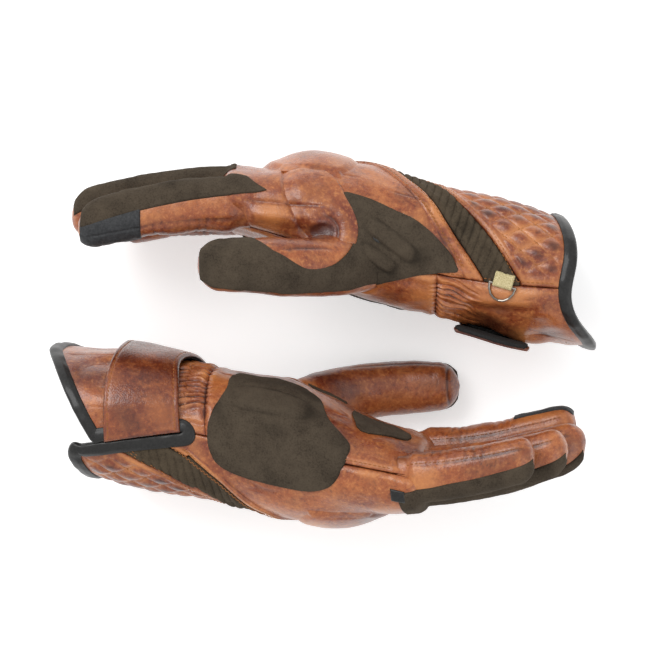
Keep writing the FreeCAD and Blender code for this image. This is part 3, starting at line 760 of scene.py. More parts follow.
def handTop(name, share, angle, seed):
    inside = share < 0.13  # how far the hand's leather stands over the finger's form, at the root
    top = np.full(share.shape, -4.0)
    if not inside.any():
        return top
    last = np.nonzero(inside.any(0))[0].max() + 1
    share, angle = share[:, :last], angle[:, :last]
    a, b = np.full(share.shape, -4.0), np.full(share.shape, 22.0)
    for _ in range(14):
        middle = (a + b) / 2
        gap = leatherGap(fingerSurface(name, share, angle, middle), seed)
        a, b = np.where(gap < 0, middle, a), np.where(gap < 0, b, middle)
    beyond = fingerSurface(name, share, angle)[..., 0] > hand["endX"] + 8
    top[:, :last] = np.where(beyond, -4.0, a)
    return top


def thumbHeight(points, x, angle, seed):
    high = swell(points, thumb["waves"], seed)
    creases = shortFolds(points, 15, seed, (1, 1.8, 1), (34, seed + 5), 0.2)
    turned = np.mod(angle, 360)
    seam = bell(turned - thumb["seamAngle"], 3.0) * between(x, (150, 160), (205, 209))
    rim = bell(x - thumb["tipSeamX"], 0.7) * smoothStep(-angle, 20, 40)
    high = high - 0.3 * creases - 0.5 * seam - 0.45 * rim
    high = high + fillet(handGap(points), 11) * (1 - smoothStep(x, 150, 176))
    crease = bell(x - 156, 15) * bell(turned - 52 - 0.06 * (x - 156) ** 2 / 3, 4)
    high = high - 3.4 * (1 - smoothStep(x, 118, 136)) - 0.9 * crease
    # The second value is painted shade in the creases, the side seam, the groove at the tip seam and the
    # crease across the thumb.
    return high, 0.4 * creases + 0.8 * seam + 0.8 * rim + 0.7 * crease


def thumbPiece(side, seed):
    x, angle = np.meshgrid(thumb["tipX"] - (1 - np.linspace(0, 1, 130)) ** 1.3 * (thumb["tipX"] - 120),
                           np.arange(-180, 180, 4.0), indexing="ij")
    flat = thumbSurface(x, angle)
    high, dark = thumbHeight(flat, x, angle, seed)
    # The thumb is painted darker next to the hollow between it and the hand, as shade.
    wear = leatherWearAndShade(flat, high, dark, seed, 26, (2.5, 1, 1)) - 0.25 - 0.9 * bump(flat, 150, 46, 10.5, 9)
    return makeObject(side + "ThumbLeather", *tubeMesh(thumbSurface(x, angle, high)),
                      side, skins["leather"], wear)


thumbRim = (  # x, angle where the suede starts
    (117, 20), (128, 24), (132, 36), (135.4, 62), (141.4, 84), (148, 91), (155, 93), (160, 90), (164, 84),
    (170, 71), (176, 58), (181.6, 38), (187, 16), (193, 8), (215, 8))


def overThumb(side, seed):
    t, s = np.meshgrid(np.linspace(0, 1, 101), np.linspace(0, 1, 71))
    x = mix(thumb["suedeX"], thumb["tipX"] - 1.2, t ** 0.92)
    angle = mix(smoothThrough(thumbRim, x, 1), mix(140.0, 150.0, smoothStep(x, 121, 160)), s)
    flat = thumbSurface(x, angle)
    high, dark = thumbHeight(flat, x, angle, seed)
    border = borderOf(flat)
    outer = thumbSurface(x, angle, high + suedeLift(flat, border, seed, 0.95))
    inner = thumbSurface(x, angle, high - 0.5)
    return sheetPiece("ThumbSuede", side, outer, inner, skins["suede"], suedeWearAndShade(flat, dark, border, seed))


patch = {
    # angle round the arm, then low x and high x
    "thenar": (
        (67, 124, 136), (70, 112, 140), (73, 100, 139), (80, 90, 136), (89, 82.5, 132), (95, 79, 132.5),
        (101, 77, 133.5), (107, 76.5, 136), (110, 84, 139), (116, 96, 144), (123, 106.5, 150),
        (129, 117, 152), (138, 128, 156), (149, 138, 157)),
    "heel": (
        (-72, 110, 128), (-73.5, 100, 140), (-77, 93, 149), (-84, 90, 156), (-94, 88.5, 161), (-106, 89, 165),
        (-114, 90, 165.5), (-122, 92, 161), (-131, 95, 155), (-144, 98.5, 151), (-156, 99, 149),
        (-166, 101, 146), (-174, 107, 139)),
    "crotch": (
        (-133, 170, 174), (-138, 167.5, 180), (-145, 166.5, 186), (-150, 165.5, 191), (-160, 164, 193),
        (-175, 163, 194), (-190, 164, 192), (-200, 168, 184)),
    "gusset": (
        (50, 148, 170), (56, 143, 173), (64, 139, 173), (71, 136.8, 173), (80, 132.5, 172), (89, 130, 169),
        (99, 130.5, 165), (109, 133.5, 160), (117, 138, 155), (124, 144, 150)),
    # middle x, middle angle, length, width
    "thenarPads": ((112.5, 94, 26, 9.5), (119.5, 109.5, 18, 7.5)),
    "heelPad": (123, -137, 36, 15),
    "padTilt": 27,
    "padRise": 1.5,
    "size": (90, 90),
    "gussetLift": 1.3,
}


def padRise(x, angle, pads, tilt):
    rise, rim = np.zeros(x.shape), np.zeros(x.shape)
    c, s = math.cos(math.radians(tilt)), math.sin(math.radians(tilt))
    for middle, turned, length, width in pads:
        along, side = x - middle, np.radians(angle - turned) * handRadius(x, turned)
        along, side = along * c - side * s, along * s + side * c
        level = np.sqrt((along / (length / 2)) ** 4 + (side / (width / 2)) ** 4) ** 0.5
        rise = np.maximum(rise, 1 - smoothStep(level, 0.72, 1.12))
        rim = np.maximum(rim, bell(level - 1.14, 0.13))
    return rise, rim


def patchSkin(name, seed):
    form = patch[name]
    s, t = shareGrid(*patch["size"])
    angle = mix(form[0][0], form[-1][0], s)
    end = smoothThrough(form, angle, 2)
    x = mix(smoothThrough(form, angle, 1), end, t)
    return x, angle, end, *skinAt(x, angle, seed)


def suedePatch(side, title, seed, material, pads, tilt):
    x, angle, _, flat, border, high, dark = patchSkin(title.lower(), seed)
    rise, rim = padRise(x, angle, pads, tilt)
    top = high + suedeLift(flat, border, seed, 0.95) + patch["padRise"] * rise - 0.35 * rim
    # Lighter on the raised pads, and darker in the sunken ring round each pad as painted shade.
    wear = suedeWearAndShade(flat, dark, border, seed) + 0.7 * rise - 0.6 * rim
    inner = shellPoint(x, angle, np.minimum(high, top) - 0.5)
    return sheetPiece(title, side, shellPoint(x, angle, top), inner, material, wear)


def gussetPiece(side, seed):
    x, angle, end, flat, border, high, dark = patchSkin("gusset", seed)
    away = np.hypot(flat[..., 0] - 149, flat[..., 2] - 10.5)  # from the hollow beside the thumb
    band = bell(away - 13.5, 3.8) * (1 - smoothStep(flat[..., 0], 148, 162))
    ring = bell(away - 8.3, 1.0) * (1 - smoothStep(flat[..., 0], 144, 154))
    fade = smoothStep(x, end - 12, end - 1)
    top = high + patch["gussetLift"] + roundedEdge(border, 1.3) + 0.08 * softWaves(flat, 7, seed + 8)
    top = mix(top + 1.5 * band - 0.7 * ring, high - 1.9, fade)
    wear = leatherWearAndShade(flat, high, dark, seed)
    # The puffed crescent is painted lighter as a highlight, and the ring round the hollow darker as painted
    # shade; the edges are darker too.
    wear = wear + 0.5 * band - 0.9 * ring - 0.6 * np.exp(-border / 0.6) * (1 - fade)
    inner = shellPoint(x, angle, np.minimum(high, top) - 0.5)
    return sheetPiece("Gusset", side, shellPoint(x, angle, top), inner, skins["leather"], wear)


def padPieces(side):
    made = []
    turns = np.arange(0, 360, 12.0)
    for k, (x, angle, length, width) in enumerate((*patch["thenarPads"], patch["heelPad"])):
        loops = []
        for scale, high in ((0.05, -0.6), (0.6, -0.6), (0.8, -0.5), (0.85, -0.2), (0.6, 0.1), (0.05, 0.2)):
            alongX = x + length / 2 * scale * np.cos(np.radians(turns))
            turned = angle + turnBy(x, angle, width / 2 * scale * np.sin(np.radians(turns)))
            loops.append(shellPoint(alongX, turned, high))
        made.append(makeObject(side + "GelPad" + str(k), *tubeMesh(np.array(loops)), side, skins["gel"]))
    return joinObjects(made, side + "GelPads")


def joinObjects(objects, name):
    bpy.ops.object.select_all(action="DESELECT")
    for obj in objects:
        obj.select_set(True)
    bpy.context.view_layer.objects.active = objects[0]
    bpy.ops.object.join()
    objects[0].name = name
    return objects[0]


guard = {
    "x": 156.0,
    "coverTurn": 57.0,
    "coverHalf": 32.0,
    "length": 46.0,
    "halfTurn": 48.2,
    "rise": 5.2,
}


def knuckleCover(side, seed):
    s, t = shareGrid(90, 76)
    angle = mix(-guard["coverTurn"], guard["coverTurn"], s)
    x = guard["x"] + (t - 0.5) * 2 * guard["coverHalf"] * (1 - 0.3 * (2 * s - 1) ** 4) + 3 * (1 - t)
    flat, border, high, dark = skinAt(x, angle, seed)
    across = angle / guard["halfTurn"]
    along = 2 * (x - guard["x"]) / (guard["length"] * (1 - 0.35 * np.minimum(np.abs(across), 1) ** 4))
    dome = np.cos(np.pi / 2 * np.clip(across, -1, 1)) ** 0.85
    dome = dome * np.cos(np.pi / 2 * np.clip(along, -1, 1)) ** 1.15
    over = 1 - smoothStep(np.maximum(np.abs(across), np.abs(along)), 0.93, 1.22)
    skin = high - 0.75 + 0.85 * smoothStep(border, 0, 13)
    top = mix(skin, 2.1 + 0.4 * np.maximum(high, 0), over) + guard["rise"] * dome
    wear = leatherWearAndShade(flat, high, dark * (1 - over), seed) - 0.45 * dome
    wear = wear - 0.9 * bump(flat, 152, 28, 42, 6) - 0.9 * bump(flat, 142, 30, 39, 5)
    inner = shellPoint(x, angle, np.minimum(-0.6, top - 0.5))
    return sheetPiece("KnuckleCover", side, shellPoint(x, angle, top), inner, skins["leather"], wear)


def sideTag(side, seed):
    s, t = shareGrid(15, 15)
    x = tag["x"] + (t - 0.5) * tag["length"]
    angle = tag["angle"] + turnBy(187, -82, (s - 0.5) * tag["width"])
    _, border, high, _ = skinAt(x, angle, seed)
    outer = shellPoint(x, angle, high + 1.1 + roundedEdge(border, 0.4))
    return sheetPiece("SideTag", side, outer, shellPoint(x, angle, high - 0.4), skins["binding"])


# Cuff binding, strap, ring tape

binding = {
    "width": 5.2,
    "wall": 1.5,
    "over": 2.2,
    "cornerX": 24.0,
    "cornerTurn": 3.0,
    "soften": (1, 2, 3, 2, 1),
}


def softened(line):
    kernel = np.array(binding["soften"]) / sum(binding["soften"])
    return np.stack([np.convolve(line[:, k], kernel, "same") for k in (0, 1)], -1)


def bindingPiece(side):
    half, lap = panel["slitWidth"] / 2, 8
    noseX = panel["slitEndX"] - half
    corner = float(littleSeam(binding["cornerX"])) + binding["cornerTurn"]
    ring = [(float(cuffEdge(a)), a)
            for a in np.linspace(corner, 360 + corner - 2 * binding["cornerTurn"], 300)]
    backLip, palmLip = (np.linspace(ring[k][0] + 1.2, noseX, 60) for k in (0, -1))
    path = [(x, float(littleSeam(x) + turnBy(x, -90, half))) for x in backLip[::-1]] + ring
    path += [(x, 360 + float(littleSeam(x) - turnBy(x, -90, half))) for x in palmLip]
    for turn in np.radians(np.arange(-75, 76, 15.0)):
        x = noseX + half * math.cos(turn)
        path.append((x, 360 + float(littleSeam(x) + turnBy(x, -90, half * math.sin(turn)))))
    path = np.array(path)
    soft = softened(np.concatenate([path[-lap:] - (0, 360), path, path[:lap] + (0, 360)]))
    radius = handRadius(soft[:, 0], soft[:, 1])
    step = softened(np.gradient(soft, axis=0) * np.stack([np.ones(len(soft)), np.radians(1) * radius], -1))
    step /= np.linalg.norm(step, axis=1)[:, None]
    soft, step = soft[lap:-lap], step[lap:-lap]
    turns = np.radians(np.arange(0, 360, 15.0))
    c, s = np.cos(turns), np.sin(turns)
    thick = panel["leather"] / 2 + binding["wall"]
    inward = np.where(c > 0, binding["width"] * np.abs(c) ** 0.7, -binding["over"] * np.abs(c) ** 0.8)
    out = thick * np.sign(s) * np.abs(s) ** 0.62 - panel["leather"] / 2
    x, angle = soft[:, :1], soft[:, 1:]
    px = x + step[:, 1:] * inward
    pa = angle - turnBy(x, angle, 1.0) * step[:, :1] * inward
    flat = shellPoint(px, pa)
    ripple = 0.12 * softWaves(flat, 9, 91) + 0.2 * softWaves(flat, 30, 92)
    stitch = -0.35 * bell(inward - binding["width"] + 1.1, 0.45) * (s > 0)
    loops = shellPoint(px, pa, out + 0.3 + ripple + stitch)
    return makeObject(side + "EdgeBinding", *tubeMesh(loops, True), side, skins["binding"])


strap = {
    "middleX": 54.0,
    # share, width, shift
    "form": ((0, 40.5, 0), (0.25, 38, 1.2), (0.5, 34, 1), (0.78, 38, 2.5), (1, 43, 3.5)),
    "leaveAngle": {"right": -190.0, "left": -240.0},  # the right one's end stands off, as a tab to pull
    "droop": 8.0,
    "rootOver": -2.1,
    "rootRise": 1.9,
    "thickness": 2.3,
    "endAngle": -229.0,
    "hook": 1.3,
    "loop": 1.2,
    "loopBase": 0.7,
    "under": 4.0,
    "seamInset": 2.4,
    "rootShare": 0.16,
    "bendTurn": (4, 30),
    "leatherShares": (0.0, 0.985),
    "hookShares": (0.5, 1.0),
    "loopShares": (0.36, 0.66),
    "seamShares": (0.02, 0.9),
}


def strapPlaces(shares, inset, size):
    s, t = shareGrid(*size)
    share = mix(*shares, s)
    corner = 5 - 5 * np.sqrt(1 - np.clip((share - 0.92) / 0.08, 0, 1) ** 2)
    half = smoothThrough(strap["form"], share, 1) / 2 - inset - corner
    x = strap["middleX"] + smoothThrough(strap["form"], share, 2) + half * (2 * t - 1)
    root = littleSeam(x) - turnBy(x, -90, panel["slitWidth"] / 2 + strap["rootOver"])
    angle = mix(root, strap["endAngle"], share)
    flat = shellPoint(x, angle)
    return share, x, angle, flat, borderOf(flat)


def strapRise(share):
    return mix(strap["rootRise"], strap["under"], shareOf(share, 0.02, strap["rootShare"]))


def strapWaves(points, seed):
    return 0.3 * softWaves(points, 34, seed + 31)


def strapPoint(side, x, angle, rise):
    leave, droop = strap["leaveAngle"][side], math.radians(strap["droop"])
    points = shellPoint(x, np.maximum(angle, leave), rise)
    beyond = np.radians(np.maximum(leave - angle, 0)) * handRadius(x, leave)
    first = shellPoint(x, leave - 1 + 0 * x) - shellPoint(x, leave + 1 + 0 * x)
    first /= np.linalg.norm(first, axis=-1)[..., None]
    kept = 5 * (1 - np.exp(-beyond / 5))
    away = np.array([0, math.cos(droop), -math.sin(droop)])
    return points + first * kept[..., None] + away * (beyond - kept)[..., None]


def strapPieces(side, seed):
    share, x, angle, flat, border = strapPlaces(strap["leatherShares"], 0.0, (150, 60))
    low = strapRise(share)
    soft = strapWaves(flat, seed)
    inset = border - strap["seamInset"]
    wear = 0.25 * softWaves(flat, 30, seed + 32) - 0.6 * np.exp(-border / 1.0)
    wear = wear - 0.35 * smoothStep(share, 0.2, 0.6) + 0.4 * bell(inset, 1.0) - 0.1
    top = low + strap["thickness"] - 0.4 + soft - 0.22 * bell(inset, 0.8) + roundedEdge(border, 0.9)
    outer, inner = strapPoint(side, x, angle, top), strapPoint(side, x, angle, low + soft)
    leather = sheetPiece("StrapLeather", side, outer, inner, skins["strap"], wear)

    share, x, angle, flat, border = strapPlaces(strap["hookShares"], 0.8, (110, 60))
    low = strapRise(share) + strapWaves(flat, seed)
    pile = roundedEdge(border, 0.6) + 0.12 * softWaves(flat, 2.2, seed + 5)
    outer = strapPoint(side, x, angle, low + 0.4 + pile)
    low = low - strap["hook"] - 0.5 * smoothStep(share, 0.8, 1.0) - 0.5 * pile
    hook = sheetPiece("HookPad", side, outer, strapPoint(side, x, angle, low), skins["hook"])

    share, x, angle, flat, border = strapPlaces(strap["loopShares"], 5.0, (70, 50))
    pile = roundedEdge(border, 0.6) + 0.12 * softWaves(flat, 2.2, seed + 5)
    outer = shellPoint(x, angle, strap["loopBase"] + strap["loop"] + pile)
    loop = sheetPiece("LoopPad", side, outer, shellPoint(x, angle, 0.3), skins["loop"])
    return {"StrapLeather": (leather, ("strap_leather",)), "HookPad": (hook, ("strap_hook_pad",)),
            "LoopPad": (loop, ("strap_loop_pad",))}


tape = {
    "x": 52.0,
    "angle": 106.0,
    "wire": 0.77,
    "thick": 0.9,
    "width": 10.6,
}

tag = {
    "x": 190.0,
    "angle": -84.0,
    "length": 7.5,
    "width": 6.5,
}


def ringTape(side):
    ringX, ringAngle, wire, thick = tape["x"], tape["angle"], tape["wire"], tape["thick"]
    foot = handPoint(ringX, ringAngle)
    outward = foot - np.array([ringX, 0, axisZ(ringX)])
    along = handPoint(ringX + 5, ringAngle) - handPoint(ringX - 5, ringAngle)
    along = along / np.linalg.norm(along)
    outward = outward - along * outward.dot(along)
    outward = outward / np.linalg.norm(outward)
    down = np.cross(along, outward)
    down = -down if down[2] > 0 else down
    centre = foot + outward * (0.3 + wire + thick)
    path = [(-6.6, 0.35), (-5.6, 0.45), (-4.0, wire - 0.1), (-2.2, wire + 0.3)]
    path += [((wire + thick / 2) * math.cos(a), (wire + thick / 2) * math.sin(a))
             for a in np.radians(np.linspace(90, -90, 13))]
    path += [(-2.2, -wire - 0.35), (-4.0, -wire - 0.5), (-5.6, -wire - 0.5), (-6.6, -wire - 0.5)]
    path = np.array(path)
    tangent = np.gradient(path, axis=0)
    normal = np.stack([-tangent[:, 1], tangent[:, 0]], -1)
    normal /= np.linalg.norm(normal, axis=1)[:, None]
    across = np.linspace(-tape["width"] / 2, tape["width"] / 2, 13)[None, :, None] * along
    grids = []
    for shift in (0.4 * thick, -0.4 * thick):
        line = (path + normal * shift)[:, None, :, None]
        grids.append(centre + line[:, :, 0] * down + line[:, :, 1] * outward + across)
    return sheetPiece("RingTape", side, *grids, skins["tape"])


# Stitches, set along the seams by a node group

def setSocket(tree, socket, value):
    if isinstance(value, bpy.types.NodeSocket):
        tree.links.new(value, socket)
    else:
        socket.default_value = value


def setInputs(tree, node, **values):
    for name, value in values.items():
        setSocket(tree, next(s for s in node.inputs if s.name.replace(" ", "") == name and s.enabled), value)


def addNode(tree, kind, settings=None, **values):
    node = tree.nodes.new(kind)
    for name, value in (settings or {}).items():
        setattr(node, name, value)
    setInputs(tree, node, **values)
    return node


def mathNode(tree, operation, first, second):
    node = addNode(tree, "ShaderNodeMath", {"operation": operation})
    for socket, value in zip(node.inputs, (first, second)):
        setSocket(tree, socket, value)
    return node.outputs[0]


def stitchGroup(material):
    group = bpy.data.node_groups.new("stitches", "GeometryNodeTree")
    for name, way, kind in (("Seams", "INPUT", "Geometry"), ("Spacing", "INPUT", "Float"),
                            ("Length", "INPUT", "Float"), ("Radius", "INPUT", "Float"),
                            ("Stitches", "OUTPUT", "Geometry")):
        group.interface.new_socket(name, in_out=way, socket_type="NodeSocket" + kind)
    start, end = group.nodes.new("NodeGroupInput").outputs, group.nodes.new("NodeGroupOutput")
    curve = addNode(group, "GeometryNodeMeshToCurve", Mesh=start["Seams"])
    even = addNode(group, "GeometryNodeResampleCurve", {"mode": "LENGTH"}, Curve=curve.outputs["Curve"],
                   Length=start["Spacing"])
    spots = addNode(group, "GeometryNodeCurveToPoints", {"mode": "EVALUATED"}, Curve=even.outputs["Curve"])
    ball = addNode(group, "GeometryNodeMeshUVSphere", Segments=6, Rings=4, Radius=1.0)
    size = addNode(group, "ShaderNodeCombineXYZ", X=start["Radius"], Y=start["Radius"],
                   Z=mathNode(group, "MULTIPLY", start["Length"], 0.5))
    thread = addNode(group, "GeometryNodeTransform", Geometry=ball.outputs["Mesh"], Scale=size.outputs[0])
    laid = addNode(group, "GeometryNodeInstanceOnPoints", Points=spots.outputs["Points"],
                   Instance=thread.outputs["Geometry"], Rotation=spots.outputs["Rotation"])
    real = addNode(group, "GeometryNodeRealizeInstances", Geometry=laid.outputs["Instances"])
    painted = addNode(group, "GeometryNodeSetMaterial", Geometry=real.outputs["Geometry"], Material=material)
    group.links.new(painted.outputs["Geometry"], end.inputs[0])
    return group


def stitched(name, side, lines, group, spacing, length, radius):
    points, edges = [], []
    for line in lines:
        start = len(points)
        points += [tuple(p) for p in inFrame(side, np.asarray(line))]
        edges += [(start + i, start + i + 1) for i in range(len(line) - 1)]
    mesh = bpy.data.meshes.new(name)
    mesh.from_pydata(points, edges, [])
    obj = linked(name, mesh)
    step = obj.modifiers.new("stitches", "NODES")
    step.node_group = group
    values = {"Spacing": spacing * mm, "Length": length * mm, "Radius": radius * mm}
    for item in group.interface.items_tree:
        if item.item_type == "SOCKET" and item.in_out == "INPUT" and item.name in values:
            step[item.identifier] = values[item.name]
    done = bpy.data.meshes.new_from_object(obj.evaluated_get(bpy.context.evaluated_depsgraph_get()))
    obj.modifiers.clear()
    obj.data = done
    bpy.data.meshes.remove(mesh)
    done.polygons.foreach_set("use_smooth", [True] * len(done.polygons))
    return obj


def skinLine(x, angle, seed, lift):
    x, angle = asArrays(x, angle)
    return shellPoint(x, angle, skinHeight(shellPoint(x, angle), x, angle, seed)[0] + lift)


def handSeams(seed):
    angles = np.linspace(-84, 100, 120)
    lines = [skinLine(bandHigh(angles) + away, angles, seed, lift)
             for away, lift in ((2.4, 1.1), (3.6, 1.1), (8.0, 1.05), (9.0, 1.0))]
    lines += [skinLine(bandLow(angles) - away, angles, seed, 0.2) for away in (1.6, 4.2)]
    x = np.linspace(26, 84, 60)
    lines.append(skinLine(x, thumbSeam(x) - 3.2, seed, 0.55))
    x = np.linspace(164, 186, 40)
    lines.append(skinLine(x, 360 + littleSeam(x) - 3.2, seed, 0.6))
    return lines


def quiltSeams(seed):
    lines = []
    for family in (1, -1):
        for k in range(-16, 17):
            x = np.linspace(0, 110, 90)
            across = family * (k - x / panel["diamondAlong"])
            angle = np.degrees(across * panel["diamondAcross"] / panel["diamondRadius"])
            low, high = cuffEdge(angle) + 8.5, bandLow(angle) - 7.5
            inside = (x > low) & (x < high) & (angle > littleSeam(x) + 20) & (angle < thumbSeam(x) - 16)
            if inside.sum() > 6:
                lines.append(skinLine(x[inside], angle[inside], seed, -0.85))
    return lines


def fingerSeams(name, seed):
    lines = []
    share = np.linspace(0.0, 0.9, 70)
    for place in (-126.0, 126.0) if name == "little" else (-126.0,):
        angle = np.full(len(share), place)
        high = fingerHeight(name, fingerSurface(name, share, angle), share, angle, seed)[0]
        lines.append(fingerSurface(name, share, angle, high + 0.2))
    return lines


def strapSeams(side, seed):
    lines = []
    for size, row in (((90, 2), np.s_[:, 0]), ((90, 2), np.s_[:, 2]), ((2, 30), np.s_[2])):
        places = strapPlaces(strap["seamShares"], strap["seamInset"], size)
        share, x, angle, flat = (grid[row] for grid in places[:4])
        rise = strapRise(share) + strap["thickness"] - 0.5 + strapWaves(flat, seed)
        lines.append(strapPoint(side, x, angle, rise))
    return lines


# Materials

def hexColour(text):
    values = [int(text[i:i + 2], 16) / 255 for i in (1, 3, 5)]
    return tuple(v / 12.92 if v <= 0.04045 else ((v + 0.055) / 1.055) ** 2.4 for v in values) + (1.0,)


def blankMaterial(name):
    material = bpy.data.materials.new(name)
    material.use_nodes = True
    tree = material.node_tree
    return material, tree, next(n for n in tree.nodes if n.type == "BSDF_PRINCIPLED")


def newMaterial(name):
    material, tree, surface = blankMaterial(name)
    spot = addNode(tree, "ShaderNodeAttribute", {"attribute_name": "restPoint"}).outputs["Vector"]
    return material, tree, surface, spot


def mixedColour(tree, share, first, second):
    node = addNode(tree, "ShaderNodeMix", {"data_type": "RGBA", "blend_type": "MIX"})
    for k, value in ((0, share), (6, first), (7, second)):
        setSocket(tree, node.inputs[k], value)
    return node.outputs[2]


def layered(tree, colour, layers):
    for value, low, high, amount, other in layers:
        colour = mixedColour(tree, spread(tree, value, low, high, 0.0, amount), colour, other)
    return colour


def wearOf(tree):
    return addNode(tree, "ShaderNodeAttribute", {"attribute_name": "wear"}).outputs["Fac"]


def finishSurface(tree, surface, colour, height, strength, distance, **values):
    relief = addNode(tree, "ShaderNodeBump", Strength=strength, Distance=distance * mm, Height=height)
    setInputs(tree, surface, BaseColor=colour, Normal=relief.outputs["Normal"], **values)


def noiseAt(tree, spot, size, detail, roughness):
    return addNode(tree, "ShaderNodeTexNoise", Vector=spot, Scale=1 / size, Detail=detail,
                   Roughness=roughness).outputs["Fac"]


def spread(tree, value, low, high, toLow=0.0, toHigh=1.0):
    node = tree.nodes.new("ShaderNodeMapRange")
    tree.links.new(value, node.inputs[0])
    for socket, number in zip(node.inputs[1:5], (low, high, toLow, toHigh)):
        socket.default_value = number
    return node.outputs[0]


# Burnished pull-up leather: lighter where it is pulled and where highlights are painted on puffed leather,
# darker in folds, creases and hollows as painted shade
def leatherMaterial(name, colours, roughness=0.31, coat=0.35):
    material, tree, surface, spot = newMaterial(name)
    dark, deep, middle, light = (hexColour(c) for c in colours)
    wear = wearOf(tree)
    big, small = noiseAt(tree, spot, 34, 3, 0.55), noiseAt(tree, spot, 7, 4, 0.6)
    streak = noiseAt(tree, spot, 2.2, 5, 0.7)
    colour = layered(tree, deep, (
        (big, 0.36, 0.66, 1.0, middle), (small, 0.45, 0.8, 0.5, light), (streak, 0.52, 0.7, 0.6, light),
        (streak, 0.47, 0.3, 0.6, dark), (wear, 0.1, 1.0, 0.75, light), (wear, -0.2, -1.2, 0.85, dark)))
    grain = addNode(tree, "ShaderNodeTexVoronoi", Vector=spot, Scale=1 / 0.9)
    height = mathNode(tree, "ADD", grain.outputs["Distance"], noiseAt(tree, spot, 2.6, 5, 0.65))
    gloss = spread(tree, small, 0.3, 0.7, roughness - 0.07, roughness + 0.1)
    finishSurface(tree, surface, colour, height, 0.35, 0.35, Roughness=gloss, SpecularIORLevel=0.5,
                  CoatWeight=coat, CoatRoughness=0.3)
    return material


# Brushed nap: mottled, with a soft pale sheen at its edges
def suedeMaterial(name, dark, light, depth=0.45):
    material, tree, surface, spot = newMaterial(name)
    dark, light, speckDark, wornAndShadedDark = (hexColour(c) for c in (dark, light, "#241E18", "#1E1A15"))
    wear = wearOf(tree)
    mottle, speck = noiseAt(tree, spot, 11, 6, 0.72), noiseAt(tree, spot, 0.9, 3, 0.7)
    # The darkest colour here stands for worn nap and for painted shade in creases and in the sunken rims
    # round the pads.
    colour = layered(tree, dark, (
        (mottle, 0.3, 0.7, 1.0, light), (speck, 0.42, 0.68, 0.7, light), (speck, 0.45, 0.3, 0.5, speckDark),
        (wear, -0.1, -1.0, 0.6, wornAndShadedDark), (wear, 0.1, 0.8, 0.45, light)))
    height = mathNode(tree, "ADD", speck, noiseAt(tree, spot, 3.0, 4, 0.7))
    finishSurface(tree, surface, colour, height, depth, 0.5, Roughness=0.95, SpecularIORLevel=0.15,
                  SheenWeight=0.35, SheenRoughness=0.5, SheenTint=light)
    return material


def plainMaterial(name, dark, light, roughness, grain=0.7, depth=0.3, coat=0.0):
    material, tree, surface, spot = newMaterial(name)
    fine = noiseAt(tree, spot, grain, 3, 0.6)
    colour = layered(tree, hexColour(dark), ((fine, 0.35, 0.65, 1.0, hexColour(light)),))
    finishSurface(tree, surface, colour, fine, depth, 0.3, Roughness=roughness, CoatWeight=coat,
                  SpecularIORLevel=0.4)
    return material


def steelMaterial():
    material, tree, surface = blankMaterial("nickelSteel")  # polished wire: bright, with dark reflections
    setInputs(tree, surface, BaseColor=hexColour("#8E8880"), Metallic=1.0, Roughness=0.24)
    return material


skins = {
    "leather": leatherMaterial("burnishedLeather", ("#3C1512", "#7A3720", "#A85C30", "#D0884E")),
    "strap": leatherMaterial(
        "polishedStrapLeather", ("#3A170F", "#682D18", "#8B4423", "#B46A38"), 0.24, 0.5),
    "suede": suedeMaterial("brownSuede", "#352D25", "#52483C"),
    "stretch": suedeMaterial("stretchSuede", "#352D24", "#54493B", 0.3),
    "blackSuede": plainMaterial("blackGrippyLeather", "#1F2022", "#343537", 0.6, 1.3, 0.7),
    "binding": plainMaterial("blackLeatherBinding", "#141413", "#232221", 0.42, 1.2, 0.35, 0.15),
    "lining": plainMaterial("darkKnitLining", "#2A2623", "#3C3733", 0.95, 0.8, 0.5),
    "gel": plainMaterial("greyGel", "#3C3C3C", "#4A4A4A", 0.6),
    "tape": plainMaterial("khakiTape", "#A89868", "#DCCFA2", 0.7, 0.6, 0.6),
    "hook": plainMaterial("blackHookPile", "#161616", "#2A2A2A", 0.95, 0.5, 1.0),
    "loop": plainMaterial("blackLoopPile", "#1A1A1A", "#2C2C2C", 0.98, 0.8, 1.0),
    "thread": plainMaterial("tanThread", "#8A4F26", "#B4773F", 0.7, 0.4, 0.2),
    "guard": plainMaterial("blackMouldedPlastic", "#1E1E1E", "#262626", 0.5),
    "steel": steelMaterial(),
}
print("materials made")


# Both gloves

slots = {
    "CuffQuilt": "tan_leather", "PleatedBand": "brown_suede", "BackLeather": "tan_leather",
    "CuffPalm": "tan_leather", "PalmLeather": "tan_leather", "Lining": "lining",
    "StrapLeather": "tan_leather", "HookPad": "hook_tape", "LoopPad": "loop_tape",
}

fingerSuede = {
    # title, where the strip starts at its two borders, where it ends, both borders' angles at root and tip
    "index": ("IndexSuede", (-0.08, -0.2), 0.985, (24, 66, -38, 95)),
    "middle": ("MiddleSuede", (0.0, 0.0), 0.985, (12, 56, -62, 84)),
    "ring": ("RingSuede", (-0.06, -0.06), 0.985, (-50, 50, -80, 80)),
    "little": ("LittleSuede", (-0.1, -0.06), 0.985, (-66, 46, -84, 80)),
}


def bent(side, obj, body, first, last):
    first, last = (Vector(inFrame(side, np.array(point))) for point in (first, last))
    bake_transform(obj)


def dressed(side, nodes):
    if nodes:
        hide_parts(*[side + "_" + node for node in nodes])


def onHand(side, obj, slotName, *nodes):
    dressed(side, nodes)
    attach(obj, side + "_hand")


def onFinger(side, name, obj, slotName, *nodes):
    dressed(side, nodes)
    y, rise, _, height, _ = fingerPlace(name)
    bent(side, obj, name, *[(x, y, rise - height / 2) for x in finger["bendX"]])


def onThumb(side, obj, slotName, *nodes):
    dressed(side, nodes)
    bent(side, obj, "thumb", *[(x, thumb["out"] - 8, -thumb["low"]) for x in thumb["bendX"]])


